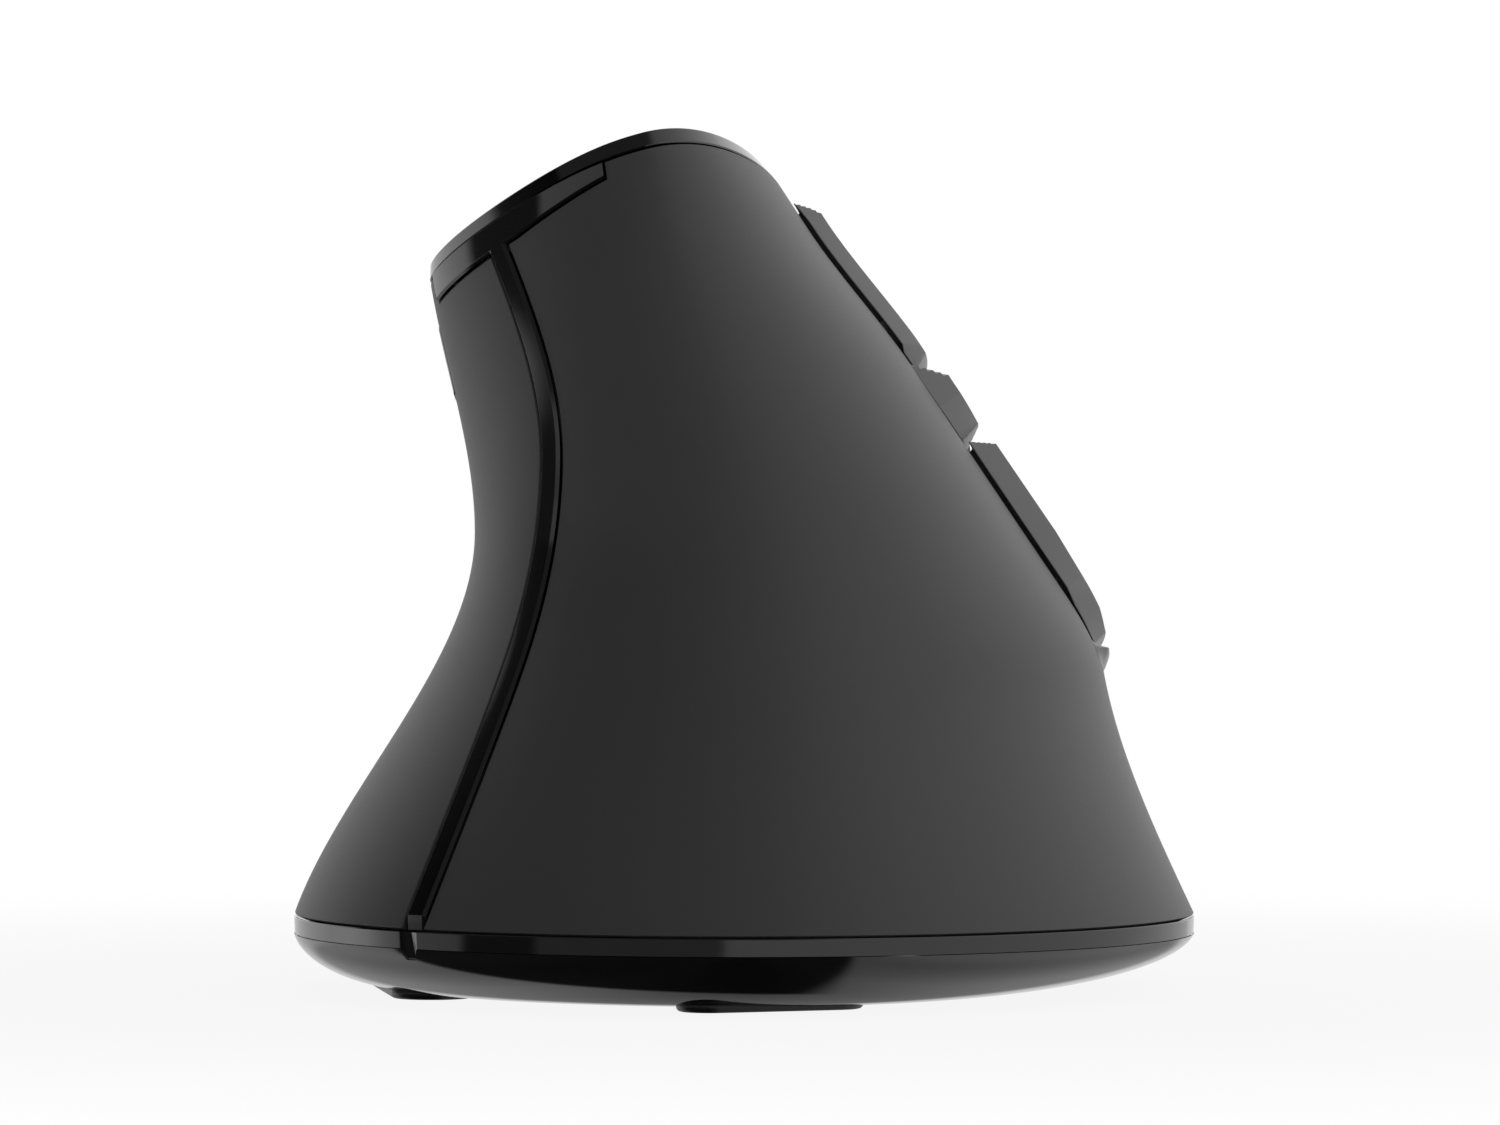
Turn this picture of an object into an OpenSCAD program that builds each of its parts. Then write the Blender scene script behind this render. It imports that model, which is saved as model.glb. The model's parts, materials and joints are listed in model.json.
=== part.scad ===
// Right-handed vertical mouse: lofted covers on a glossy skirt, with the switchgear inside.
// +X is the finger side, +Y is the nose, +Z is up, and z = 0 is the desk.

/* [Body] */
// Width across the skirt
base_w = 77.8; // [75:0.2:81]
// Length of the skirt, heel to nose
base_l = 95; // [91:0.5:99]
// Height of the seam between the skirt and the covers
seam_h = 6.6; // [6.2:0.1:7.4]
// Height of the cap's top face over the middle of the base
cap_h = 69.1; // [67:0.1:71]
// Sideways slope of the cap, rising towards the fingers, in degrees
cap_roll = 15.3; // [14:0.1:17]
// Forward slope of the cap, falling towards the nose, in degrees
cap_pitch = 11.8; // [10:0.2:13]
// Thickness of the cap
cap_t = 1.5; // [1.2:0.1:2.2]
// Wall thickness of the covers
wall = 2; // [1.4:0.1:2.4]
// Seam left between two fixed covers
seam_gap = 0.2; // [0.1:0.05:0.4]
// Clearance around moving pieces
run_gap = 0.3; // [0.2:0.05:0.5]

/* [Flanks] */
// Height of the thumb waist
waist_h = 39.5; // [37:0.5:42]
// Distance of the thumb waist from the middle plane
waist_x = 23.4; // [22:0.2:25]
// Distance of the thumb brow from the middle plane
brow_x = 27.8; // [26.6:0.2:29]
// Height of the shoulder under the finger face
shoulder_h = 27; // [25:0.5:29]
// Distance of that shoulder from the middle plane
shoulder_x = 31.6; // [30.4:0.2:33]
// Distance of the finger face from the middle plane, at the height below
face_x = 27; // [26:0.1:28]
// Height at which the finger face is measured
face_h = 36; // [34:0.5:38]
// Inward lean of the finger face for each millimetre of height
face_lean = 0.68; // [0.64:0.01:0.72]

/* [Skirt] */
// Height of the lower edge of the skirt band
band_h = 5; // [4.6:0.1:5.4]
// Height of the flat underside above the desk
belly_h = 0.5; // [0.4:0.1:0.8]
// Thickness of the floor of the bottom shell
floor_t = 1.8; // [1.4:0.1:2.2]
// Inset of the flat underside on the finger side
bowl_right = 18; // [15:0.5:19]
// Inset of the flat underside on the thumb side
bowl_left = 10; // [8:0.5:11]
// Inset of the flat underside at heel and nose
bowl_ends = 14; // [12:0.5:15]

/* [Trim] */
// Width of the glossy spine
spine_w = 1.6; // [1.2:0.1:2.4]
// Height of the spine's arms at their ends
arm_h = 1.3; // [1:0.1:1.8]
// Extra height of the arms where they meet the spine
arm_flare = 1.2; // [0.8:0.1:1.6]
// Width of the small key tab under the spine
tab_w = 2.2; // [1.6:0.1:2.8]
// Depth of that key tab
tab_h = 0.9; // [0.6:0.1:1.2]

/* [Buttons] */
// Strip of cover between the cap and the button window
brow_strip = 1.7; // [1.4:0.1:2.4]
// Width of the upper click button, along the finger face
upper_w = 16.4; // [15.4:0.1:17.4]
// Width of the console between the click buttons
console_w = 7.1; // [6.8:0.1:7.6]
// Width of the lower click button, along the finger face
lower_w = 21; // [19:0.2:22]
// Width of the ledge under the lower button
ledge_w = 2.6; // [2:0.1:3.2]
// Rise of that ledge over the covers
ledge_rise = 0.8; // [0.5:0.1:1.2]
// Rise of the click buttons over the covers
button_rise = 1.75; // [1.6:0.05:2]
// Extra rise of the lower button's crown
lower_dome = 1.2; // [0.8:0.1:1.4]
// Rise of the small button behind the wheel
dpi_rise = 2.3; // [1.8:0.1:2.6]
// Thickness of the click buttons
button_t = 1.05; // [0.9:0.05:1.2]
// Travel of a click button, measured at its switch
click_travel = 0.5; // [0.3:0.05:0.6]
// Travel of the small buttons and of the wheel
tact_travel = 0.4; // [0.25:0.05:0.5]

/* [Wheel] */
// Radius of the scroll wheel over its tyre
wheel_r = 9.5; // [9:0.25:9.75]
// Width of the wheel hub
wheel_w = 6; // [5:0.25:6.25]
// Rise of the wheel over the covers
wheel_rise = 3.2; // [2.6:0.1:3.4]
// Radius of the wheel axle
axle_r = 1.25; // [1:0.05:1.4]

/* [Power] */
// Diameter of an AAA cell
cell_d = 10.5; // [10.3:0.1:10.5]
// Length of an AAA cell
cell_l = 44.5; // [43.3:0.1:44.5]
// Height of the USB receiver
receiver_h = 18.6; // [17:0.2:19]
// Travel of the power knob
power_travel = 3; // [2:0.1:3.5]

/* [Hidden] */
$fn = 48;

// Finishes
matte = "#3b3b3d";
gloss = "#101011";
satin = "#4a4a4c";
rubber = "#1d1d1f";
steel = "#b9bbbf";
board_green = "#1f5b3a";
switch_black = "#222326";
plunger_red = "#a03026";
pad_grey = "#2a2a2c";
clear_lens = "#c9d4da";

// Small helpers
function lerp(a, b, t) = a + (b - a) * t;
function unit(v) = v / norm(v);

// Smooth curve through points [height, value, slope], straight beyond both ends
function curve(points, z) =
  let (last = len(points) - 1)
  z <= points[0][0] ? points[0][1] + points[0][2] * (z - points[0][0]) :
  z >= points[last][0] ? points[last][1] + points[last][2] * (z - points[last][0]) :
  let (
    i = max([for (k = [0 : last - 1]) z >= points[k][0] ? k : 0]),
    a = points[i],
    b = points[i + 1],
    h = b[0] - a[0],
    t = (z - a[0]) / h
  )
  a[1] * (1 + 2 * t) * (1 - t) ^ 2 + a[2] * h * t * (1 - t) ^ 2
  + b[1] * t ^ 2 * (3 - 2 * t) + b[2] * h * t ^ 2 * (t - 1);

// Profiles of the body, as points [height, value, slope]
flare = 0.46;
thumb_flare = 0.35;
crown_h = 66;
brow_h = 54;
left_profile = [[seam_h, base_w / 2, -thumb_flare], [waist_h, waist_x, 0], [crown_h, brow_x, 0.05]];
right_profile = [
  [seam_h, base_w / 2, -flare],
  [shoulder_h, shoulder_x, -0.17],
  [face_h, face_x, -face_lean],
  [brow_h, face_x - face_lean * (brow_h - face_h), -face_lean],
  [crown_h, face_x - face_lean * (brow_h - face_h) - 9.2, -0.66]
];
rear_profile = [[seam_h, -base_l / 2, 0.44], [42, -33, 0.12], [crown_h, -29.8, 0.1]];
front_profile = [[seam_h, base_l / 2, -0.4], [30, 41, -0.22], [crown_h, 29, -0.46]];
heel_profile = [[seam_h, 0, 0], [40, -1.5, -0.15], [crown_h, -7.4, -0.18]];
nose_profile = [[seam_h, 0, -0.2], [40, -5, -0.2], [crown_h, -11.5, -0.25]];
widest_y = -6.5;
left_y_profile = [[seam_h, widest_y, 0.1], [crown_h, -4.9, 0]];
right_y_profile = [[seam_h, widest_y, 0.3], [36, 4, 0], [crown_h, -1, -0.2]];
edge_profile = [[seam_h, 1, 0], [40, 1.12, 0.009], [crown_h, 1.42, 0.01]];

// Point of the body's skin: u goes round from the thumb side (0) by the heel (1),
// the fingers (2) and the nose (3)
function body(u, z) =
  let (
    q = (floor(u) + 4) % 4,
    t = 90 * (u - floor(u)),
    left = -curve(left_profile, z),
    right = curve(right_profile, z),
    heel = [curve(heel_profile, z), curve(rear_profile, z)],
    nose = [curve(nose_profile, z), curve(front_profile, z)],
    left_y = curve(left_y_profile, z),
    right_y = curve(right_y_profile, z),
    edge = curve(edge_profile, z)
  )
  q == 0 ? [
    lerp(heel.x, left, cos(t) ^ (1 + (edge - 1) * cos(t))),
    lerp(left_y, heel.y, sin(t) ^ edge),
    z
  ] :
  q == 1 ? [lerp(heel.x, right, sin(t)), lerp(right_y, heel.y, cos(t)), z] :
  q == 2 ? [lerp(nose.x, right, cos(t)), lerp(right_y, nose.y, sin(t)), z] :
  [lerp(nose.x, left, sin(t)), lerp(left_y, nose.y, cos(t)), z];

du = 0.02;
dz = 0.5;
function normal(u, z) =
  unit(cross(body(u + du, z) - body(u - du, z), body(u, z + dz) - body(u, z - dz)));
function skin(u, z, d) = body(u, z) + d * normal(u, z);

// Planes parallel to the cap: level c lies c above the middle of the base
slope_x = tan(cap_roll);
slope_y = tan(cap_pitch);
function level(u, c, z, turns) =
  turns == 0 ? z : let (p = body(u, z)) level(u, c, c + slope_x * p.x - slope_y * p.y, turns - 1);
function height_at(u, c) = level(u, c, c, 9);
first_u = -1.05;
last_u = 4;
function level_table(c) = [for (u = [first_u : 0.05 : last_u]) [u, height_at(u, c)]];
function flat_table(z) = [[first_u, z], [last_u, z]];

// Levels on the finger face, counted down from the cap's seam
cap_seam = cap_h - cap_t;
drawn_h = 61;
stretch = (cap_seam - seam_h) / drawn_h;
window_top = cap_seam - brow_strip;
upper_low = window_top - upper_w * stretch;
lower_top = upper_low - console_w;
lower_low = lower_top - lower_w * stretch;
window_low = lower_low - ledge_w;
console_mid = (upper_low + lower_top) / 2;
thumb_top = cap_seam - 4;
thumb_low = thumb_top - 6.4;

// Lines that divide the skin, in turns of u
window_rear = 1.93;
window_front = 2.92;
nose_left = -0.91;
arm_left = 0.13;
arm_right = 0.865;
spine_top = 0.545;
thumb_front = -0.45;
thumb_split = -0.2;
thumb_rear = 0.05;
u_gap = seam_gap / 40;
u_run = run_gap / 40;

// Spine line on the skin, as points [height, distance from the middle plane, slope]
spine_profile = [[seam_h, -27.4, 0.38], [28, -19.4, 0.34], [46, -16.2, 0], [crown_h, -21.8, -0.4]];
function edge_cosine(share, edge, c, turns) =
  turns == 0 ? c : edge_cosine(share, edge, share ^ (1 / (1 + (edge - 1) * c)), turns - 1);
function spine_u(z, side) =
  let (
    heel_x = curve(heel_profile, z),
    left = -curve(left_profile, z),
    x = curve(spine_profile, z) + side,
    share = max(0, min(1, (heel_x - x) / (heel_x - left)))
  )
  acos(edge_cosine(share, curve(edge_profile, z), share, 9)) / 90;

// Steps along a run of knots, as [knot, share of the way to the next]
function steps(counts) = [
  for (k = [0 : len(counts) - 1]) for (m = [0 : counts[k] - 1]) [k, m / counts[k]],
  [len(counts) - 1, 1]
];
function column_u(columns, c, z) = lerp(columns[c[0]](z), columns[c[0] + 1](z), c[1]);
function row_z(rows, r, u) = lerp(lookup(u, rows[r[0]]), lookup(u, rows[r[0] + 1]), r[1]);
function settle(columns, c, rows, r, z, turns) =
  let (u = column_u(columns, c, z), z_next = row_z(rows, r, u))
  turns == 0 ? [u, z_next] : settle(columns, c, rows, r, z_next, turns - 1);

// Grid of skin points between column lines and row lines, raised by rise(u, row)
function grid(columns, column_counts, rows, row_counts, rise) = [
  for (c = steps(column_counts)) [
    for (r = steps(row_counts))
      let (p = settle(columns, c, rows, r, waist_h, 3)) skin(p[0], p[1], rise(p[0], r[0] + r[1]))
  ]
];
function still(u) = function (z) u;

// Closed sheet between an outer and an inner grid, open where keep is false
module sheet(outer, inner, keep = function (i, j) true) {
  columns = len(outer) - 1;
  rows = len(outer[0]) - 1;
  n = (columns + 1) * (rows + 1);
  function id(i, j) = i * (rows + 1) + j;
  function on(i, j) = i >= 0 && j >= 0 && i < columns && j < rows && keep(i, j);
  function quad(a, b, c, d) = [[a, b, c], [a, c, d]];
  faces = [
    for (i = [0 : columns - 1], j = [0 : rows - 1]) if (on(i, j)) each concat(
      quad(id(i, j), id(i, j + 1), id(i + 1, j + 1), id(i + 1, j)),
      quad(n + id(i, j), n + id(i + 1, j), n + id(i + 1, j + 1), n + id(i, j + 1)),
      on(i, j - 1) ? [] : quad(id(i, j), id(i + 1, j), n + id(i + 1, j), n + id(i, j)),
      on(i, j + 1) ? [] : quad(id(i, j + 1), n + id(i, j + 1), n + id(i + 1, j + 1), id(i + 1, j + 1)),
      on(i - 1, j) ? [] : quad(id(i, j), n + id(i, j), n + id(i, j + 1), id(i, j + 1)),
      on(i + 1, j) ? [] : quad(id(i + 1, j), id(i + 1, j + 1), n + id(i + 1, j + 1), n + id(i + 1, j))
    )
  ];
  polyhedron(concat([for (c = outer) each c], [for (c = inner) each c]), faces);
}

// Sheet of one rise and thickness over a whole grid
module patch(columns, column_counts, rows, row_counts, rise, thickness, keep = function (i, j) true) {
  sheet(
    grid(columns, column_counts, rows, row_counts, rise),
    grid(columns, column_counts, rows, row_counts, function (u, r) rise(u, r) - thickness),
    keep
  );
}

// Closed skin over rings of equal length, with flat ends, or joined end to end as a hoop
module loft(rings, hoop = false) {
  n = len(rings[0]);
  m = len(rings);
  last = hoop ? m - 1 : m - 2;
  sides = [
    for (r = [0 : last], k = [0 : n - 1])
      let (a = r * n, b = ((r + 1) % m) * n, e = (k + 1) % n)
      each [[a + k, b + k, b + e], [a + k, b + e, a + e]]
  ];
  ends = hoop ? [] : [[for (k = [0 : n - 1]) k], [for (k = [n - 1 : -1 : 0]) (m - 1) * n + k]];
  polyhedron([for (r = rings) each r], concat(sides, ends));
}

// Skirt and bowl: w runs from the lower edge of the band to the flat underside
function rim(u) = [body(u, seam_h).x, body(u, seam_h).y];
function inward(u) =
  let (t = unit(body(u + du, seam_h) - body(u - du, seam_h))) [-t.y, t.x];
function bowl_inset(u) =
  let (m = inward(u)) lerp(bowl_ends, m.x < 0 ? bowl_right : bowl_left, m.x ^ 2);
function at_rim(u, inset, z) =
  let (p = rim(u) + inset * inward(u)) [p.x, p.y, z];
bowl_crease = 0.1;
function bowl_share(w) = (1 - bowl_crease) * (1 - cos(90 * w)) + bowl_crease * sin(90 * w);
function bowl(u, w) =
  at_rim(u, bowl_inset(u) * bowl_share(w), band_h - (band_h - belly_h) * sin(90 * w));
floor_top = belly_h + floor_t;
function bowl_inside(u, w) =
  at_rim(u, wall + (bowl_inset(u) - wall / 2) * (1 - cos(90 * w)),
    band_h - seam_gap / 2 - (band_h - seam_gap / 2 - floor_top) * sin(90 * w));

// Columns round the skirt, with extra ones at the corners of the key tab
tab_u = 0.494;
tab_half = tab_w / 2 / 62;
tab_tip = tab_half / 2;
skirt_us = concat(
  [for (u = [0 : 0.05 : tab_u - tab_half - 0.01]) u],
  [tab_u - tab_half, tab_u - tab_tip, tab_u + tab_tip, tab_u + tab_half],
  [for (u = [ceil((tab_u + tab_half + 0.01) * 20) / 20 : 0.05 : 3.96]) u]
);
skirt_drop = wall * flare / sqrt(1 + flare ^ 2);
tab_w_share = asin(tab_h / (band_h - belly_h)) / 90;
function band_low(u) = abs(u - tab_u) < tab_tip + 0.001 ? tab_w_share : 0;
function bowl_top(u) = band_low(u) + seam_gap / (band_h - belly_h) / 1.5;

// Frame of the switchgear: x forward, y up the finger face, z outward, from the wheel's place on the skin
wheel_u = 2.31;
wheel_z = height_at(wheel_u, console_mid);
face_p = body(wheel_u, wheel_z);
face_n = normal(wheel_u, wheel_z);
cap_normal = unit([-slope_x, slope_y, 1]);
face_a = unit(cap_normal - (cap_normal * face_n) * face_n);
face_r = cross(face_a, face_n);
module on_face() {
  multmatrix([
    [face_r.x, face_a.x, face_n.x, face_p.x],
    [face_r.y, face_a.y, face_n.y, face_p.y],
    [face_r.z, face_a.z, face_n.z, face_p.z],
    [0, 0, 0, 1]
  ]) children();
}
function to_face(p) = [(p - face_p) * face_r, (p - face_p) * face_a, (p - face_p) * face_n];
function from_face(p) = face_p + p.x * face_r + p.y * face_a + p.z * face_n;
function face_spot(u, c) = to_face(body(u, height_at(u, c)));

// Places in that frame
upper_mid = (window_top + upper_low) / 2;
lower_mid = (lower_top + lower_low) / 2;
upper_press = face_spot(2.5, upper_mid - 1);
lower_press = face_spot(2.45, lower_mid + 3);
upper_hinge = face_spot(1.99, upper_mid);
lower_hinge = face_spot(1.99, lower_mid);
dpi_end = 2.12;
dpi_press = face_spot((window_rear + dpi_end) / 2, console_mid);
hinge_drop = 4.6;
hinge_r = 1.1;
hinge_w = 9;
stand_l = 3.6;
stand_w = 1.6;
stand_out = hinge_w / 2 + 1.1;
axle_z = wheel_rise - wheel_r;
board_t = 1.2;
board_top = -12;
board_low = board_top - board_t;
chassis_t = 2;

// Sizes of the switches
click_size = [10, 5.6, 5.6];
click_bore = 1;
tact_size = [4.5, 4.5, 3];
tact_rise = 0.8;
tact_r = 1.2;
plunger_rise = 0.8;
touch_gap = 0.1;
bore_gap = 0.05;
click_play = 0.3;
stem_r = 1.5;
click_stop = board_top + click_size.z + plunger_rise;
tact_stop = board_top + tact_size.z + tact_rise;

// Places on the base
tray_mid = [-4.5, -3.2];
cell_pitch = cell_d + 0.5;
tray_in = [2 * cell_d + 2, cell_l + 2.6];
tray_t = 1.2;
tray_in_h = cell_d + 0.6;
receiver_at = [-4, 28.5];
receiver_cap_size = [15, 6.5, 7];
receiver_plug_size = [12, 4.5];
sensor_at = [13.6, 7];
power_at = [15.5, -9.5];
board_at = [15.5, 3];
board_size = [11, 46];
main_low = 5.2;
post_at = [[-21.2, -24.5], [-21.2, 17], [24.5, -15], [24.5, 16]];
post_r = 2.6;
screw_r = 1.3;
screw_head_r = 2.3;
screw_head_t = 1.2;
boss_r = 3.6;
boss_h = 5;
head_low = 1.7;
deck_low = floor_top + tray_in_h + tray_t + 1.2;
deck_t = 2;
foot_t = 1;

// Bottom shell: a shallow bowl with bosses, a receiver sleeve and its openings
module base_shell() {
  outer_ws = [1, 0.82, 0.64, 0.46, 0.28];
  inner_ws = [0, 0.35, 0.7, 1];
  color(gloss) difference() {
    union() {
      loft(concat(
        [for (w = outer_ws) [for (u = skirt_us) bowl(u, w)]],
        [[for (u = skirt_us) bowl(u, bowl_top(u))]],
        [for (w = inner_ws) [for (u = skirt_us) bowl_inside(u, w)]]
      ));
      for (p = post_at) translate([p.x, p.y, floor_top - 0.5])
        cylinder(r = boss_r, h = boss_h - floor_top + 0.5);
      translate([receiver_at.x, receiver_at.y, floor_top - 0.5])
        block([receiver_cap_size.x + 3, receiver_cap_size.y + 3, receiver_cap_size.z]);
      for (y = [-1, 1]) translate([board_at.x, board_at.y + y * (board_size.y / 2 - 2), floor_top - 0.5])
        cylinder(r = 2, h = main_low - floor_top + 0.5);
    }
    translate([tray_mid.x, tray_mid.y, -1]) block([tray_in.x, tray_in.y, floor_top + 2]);
    translate([receiver_at.x, receiver_at.y, -1])
      block([receiver_cap_size.x + 2 * run_gap, receiver_cap_size.y + 2 * run_gap, 30]);
    translate([sensor_at.x, sensor_at.y, -1]) block([8.6, 6.6, floor_top + 2]);
    translate([power_at.x, power_at.y, -1]) block([2.6, 2.6 + power_travel, floor_top + 2]);
    translate([power_at.x, power_at.y, -1]) block([5, 6 + power_travel, 2.6]);
    for (p = post_at) translate([p.x, p.y, -1]) {
      cylinder(r = screw_r + 0.2, h = 20);
      cylinder(r = screw_head_r + run_gap, h = head_low + screw_head_t + 1);
    }
    foot_pockets(0.1);
  }
}

// Box centred in plan, standing on its base
module block(size) {
  translate([-size.x / 2, -size.y / 2, 0]) cube(size);
}

// Band between the bottom shell and the covers, with the key tab under the spine
module skirt_ring() {
  color(gloss) loft([
    [for (u = skirt_us) bowl(u, band_low(u))],
    [for (u = skirt_us) at_rim(u, 0, seam_h - seam_gap / 2)],
    [for (u = skirt_us) at_rim(u, wall - 0.2, seam_h - seam_gap / 2 - skirt_drop)],
    [for (u = skirt_us) at_rim(u, wall - 0.2, band_h)]
  ], hoop = true);
}

// Covers: both stand on the skirt and reach up to the cap
cover_low = flat_table(seam_h + seam_gap / 2);
cover_top = level_table(cap_seam - seam_gap / 2);
function arm_level(u) = cap_seam - arm_h - arm_flare * max(0, 1 - max(0, u - spine_top) / 0.36);
function arm_table(drop) = [for (u = [first_u : 0.05 : last_u]) [u, height_at(u, arm_level(u) - drop)]];
brow_dip = 2.4;
function brow_level(u) = window_top - brow_dip * max(0, min(1, (1.7 - u) / 0.6));
function brow_table() = [for (u = [first_u : 0.05 : last_u]) [u, height_at(u, brow_level(u))]];
flush = function (u, r) 0;

module thumb_cover() {
  color(matte) patch(
    [
      still(nose_left + u_gap),
      still(thumb_front),
      still(thumb_rear),
      still(arm_left),
      function (z) spine_u(z, -spine_w / 2 - seam_gap)
    ],
    [6, 6, 1, 6],
    [cover_low, level_table(thumb_low), level_table(thumb_top), arm_table(seam_gap), cover_top],
    [9, 2, 1, 1],
    flush, wall,
    function (i, j) !(i >= 6 && i < 12 && (j == 9 || j == 10)) && !(i >= 13 && j == 12)
  );
}

module palm_cover() {
  color(matte) patch(
    [
      function (z) spine_u(z, spine_w / 2 + seam_gap),
      still(arm_right + u_gap),
      still(window_rear),
      still(window_front + u_gap)
    ],
    [4, 12, 10],
    [cover_low, level_table(window_low), brow_table(), arm_table(seam_gap), cover_top],
    [6, 8, 1, 1],
    flush, wall,
    function (i, j) !(i >= 16 && j >= 6 && j < 14) && !(i < 4 && j == 15)
  );
}

// Glossy spine with an arm to either side under the cap
module spine_trim() {
  color(gloss) patch(
    [
      still(arm_left + u_gap),
      function (z) spine_u(z, -spine_w / 2),
      function (z) spine_u(z, spine_w / 2),
      still(arm_right)
    ],
    [4, 2, 4],
    [cover_low, arm_table(0), cover_top],
    [14, 1],
    flush, wall,
    function (i, j) (i >= 4 && i < 6) || j == 14
  );
}

module nose_trim() {
  color(gloss) patch(
    [still(window_front + 3 * u_gap - 4), still(nose_left - u_gap)],
    [5],
    [cover_low, cover_top],
    [14],
    flush, wall
  );
}

// Flat oval cap with a softened edge
module top_cap() {
  us = [for (k = [0 : 71]) k / 18];
  edge = 0.5;
  function ring(c, inset) = [
    for (u = us)
      let (p = body(u, height_at(u, c)), m = body(u + 2, height_at(u + 2, c)))
      p + inset * unit(m - p)
  ];
  color(gloss) loft([
    ring(cap_seam + seam_gap / 2, 0),
    ring(cap_h - edge, 0),
    ring(cap_h - 0.3 * edge, 0.3 * edge),
    ring(cap_h, edge)
  ]);
}

// Glossy frame in the button window, sinking towards the nose to make room for the click
frame_t = 1.6;
frame_rise = function (u, r) lerp(-0.2, -1 - click_travel, (u - window_rear) / (window_front - window_rear));
module button_frame() {
  color(gloss) difference() {
    patch(
      [still(window_rear + u_gap), still(dpi_end + u_run), still(window_front - u_gap)],
      [2, 8],
      [
        level_table(lower_low - run_gap),
        level_table(lower_top - run_gap),
        level_table(upper_low + run_gap),
        level_table(window_top - seam_gap)
      ],
      [5, 2, 4],
      frame_rise, frame_t,
      function (i, j) !(i < 2 && (j == 5 || j == 6))
    );
    on_face() {
      translate([0, 0, -10]) block([2 * wheel_r + 2, wheel_w + 2, 20]);
      translate([0, 0, -20]) block([
        carrier_in.x + 2 * (carrier_wall + run_gap),
        carrier_in.y + 2 * (carrier_wall + run_gap),
        20 + axle_z + carrier_h / 2 + run_gap
      ]);
      for (s = [upper_press, lower_press]) translate([s.x, s.y, s.z - 8])
        cylinder(r = stem_r + 0.7, h = 12);
      for (h = [upper_hinge, lower_hinge]) hinge_lugs(h, run_gap);
    }
  }
}

// Ridge under the lower button, where the ring finger rests
module finger_ledge() {
  color(satin) patch(
    [still(window_rear + u_gap), still(2.6), still(window_front - u_gap)],
    [6, 3],
    [level_table(window_low + seam_gap), level_table(lower_low - run_gap - seam_gap)],
    [4],
    function (u, r) ledge_rise * min(1, (window_front - u) * 5) * (1 - abs(2 * r - 1)), frame_t
  );
}

// Lugs that reach from a click button down to its hinge rod
module hinge_lugs(h, grow) {
  for (side = [-1, 1])
    translate([h.x, h.y + side * (hinge_w / 2 - 1), h.z - hinge_drop - grow])
      block([2.2 + 2 * grow, 2 + 2 * grow, hinge_drop + button_rise - button_t / 2 + grow]);
}

// Click button: a raised plate, its hinge rod, and the stem over its switch
module click_button(low, top, hinge, press, rise, sole) {
  columns = [still(window_rear + 2 * u_run), still(window_front - u_run)];
  rows = [level_table(low + run_gap), level_table(top - run_gap)];
  color(satin) union() {
    sheet(grid(columns, [10], rows, [6], rise), grid(columns, [10], rows, [6], sole));
    on_face() {
      hinge_lugs(hinge, 0);
      translate([hinge.x, hinge.y - hinge_w / 2 - 2, hinge.z - hinge_drop]) rotate([-90, 0, 0])
        cylinder(r = hinge_r, h = hinge_w + 4);
      translate([press.x, press.y, click_stop])
        cylinder(r = stem_r, h = press.z + button_rise - button_t / 2 - click_stop);
    }
  }
}
function along_window(u) = (u - window_rear) / (window_front - window_rear);
function dome(u) = (1 - (1 - min(1, along_window(u) / 0.2)) ^ 2) * (1 - along_window(u));
function tucked(r) = max(0, 1 - r / 0.3) ^ 2;
tuck_out = 1.2;
tuck_in = 0.6;
module upper_button() {
  click_button(upper_low, window_top, upper_hinge, upper_press,
    function (u, r) button_rise,
    function (u, r) button_rise - button_t);
}
module lower_button() {
  click_button(lower_low, lower_top, lower_hinge, lower_press,
    function (u, r) button_rise + lower_dome * dome(u) - tuck_out * tucked(r),
    function (u, r) button_rise - button_t + lower_dome * dome(u) - tuck_in * tucked(r));
}

// Small button behind the wheel
module dpi_button() {
  color(satin) union() {
    patch(
      [still(window_rear + 2 * u_run), still(dpi_end - u_run)],
      [4],
      [level_table(lower_top + 2 * run_gap), level_table(upper_low - 2.5 * run_gap)],
      [3],
      function (u, r) dpi_rise, 3.4
    );
    on_face() translate([dpi_press.x, dpi_press.y, tact_stop])
      cylinder(r = stem_r, h = dpi_press.z - 0.8 - tact_stop);
  }
}

// Thumb buttons, pressed along +X against the switches on the thumb board
thumb_stop = -18.6;
thumb_spots = [
  for (u = [(thumb_front + thumb_split) / 2, (thumb_rear + thumb_split) / 2])
    body(u, height_at(u, (thumb_low + thumb_top) / 2))
];
module thumb_button(from, to, spot) {
  color(satin) union() {
    patch(
      [still(from + u_run), still(to - u_run)],
      [5],
      [level_table(thumb_low + run_gap), level_table(thumb_top - run_gap)],
      [3],
      function (u, r) 0.25, wall
    );
    translate([spot.x + 1, spot.y, spot.z]) rotate([0, 90, 0])
      cylinder(r = stem_r, h = thumb_stop - spot.x - 1);
  }
}
module forward_button() { thumb_button(thumb_front, thumb_split, thumb_spots[0]); }
module back_button() { thumb_button(thumb_split, thumb_rear, thumb_spots[1]); }

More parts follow.
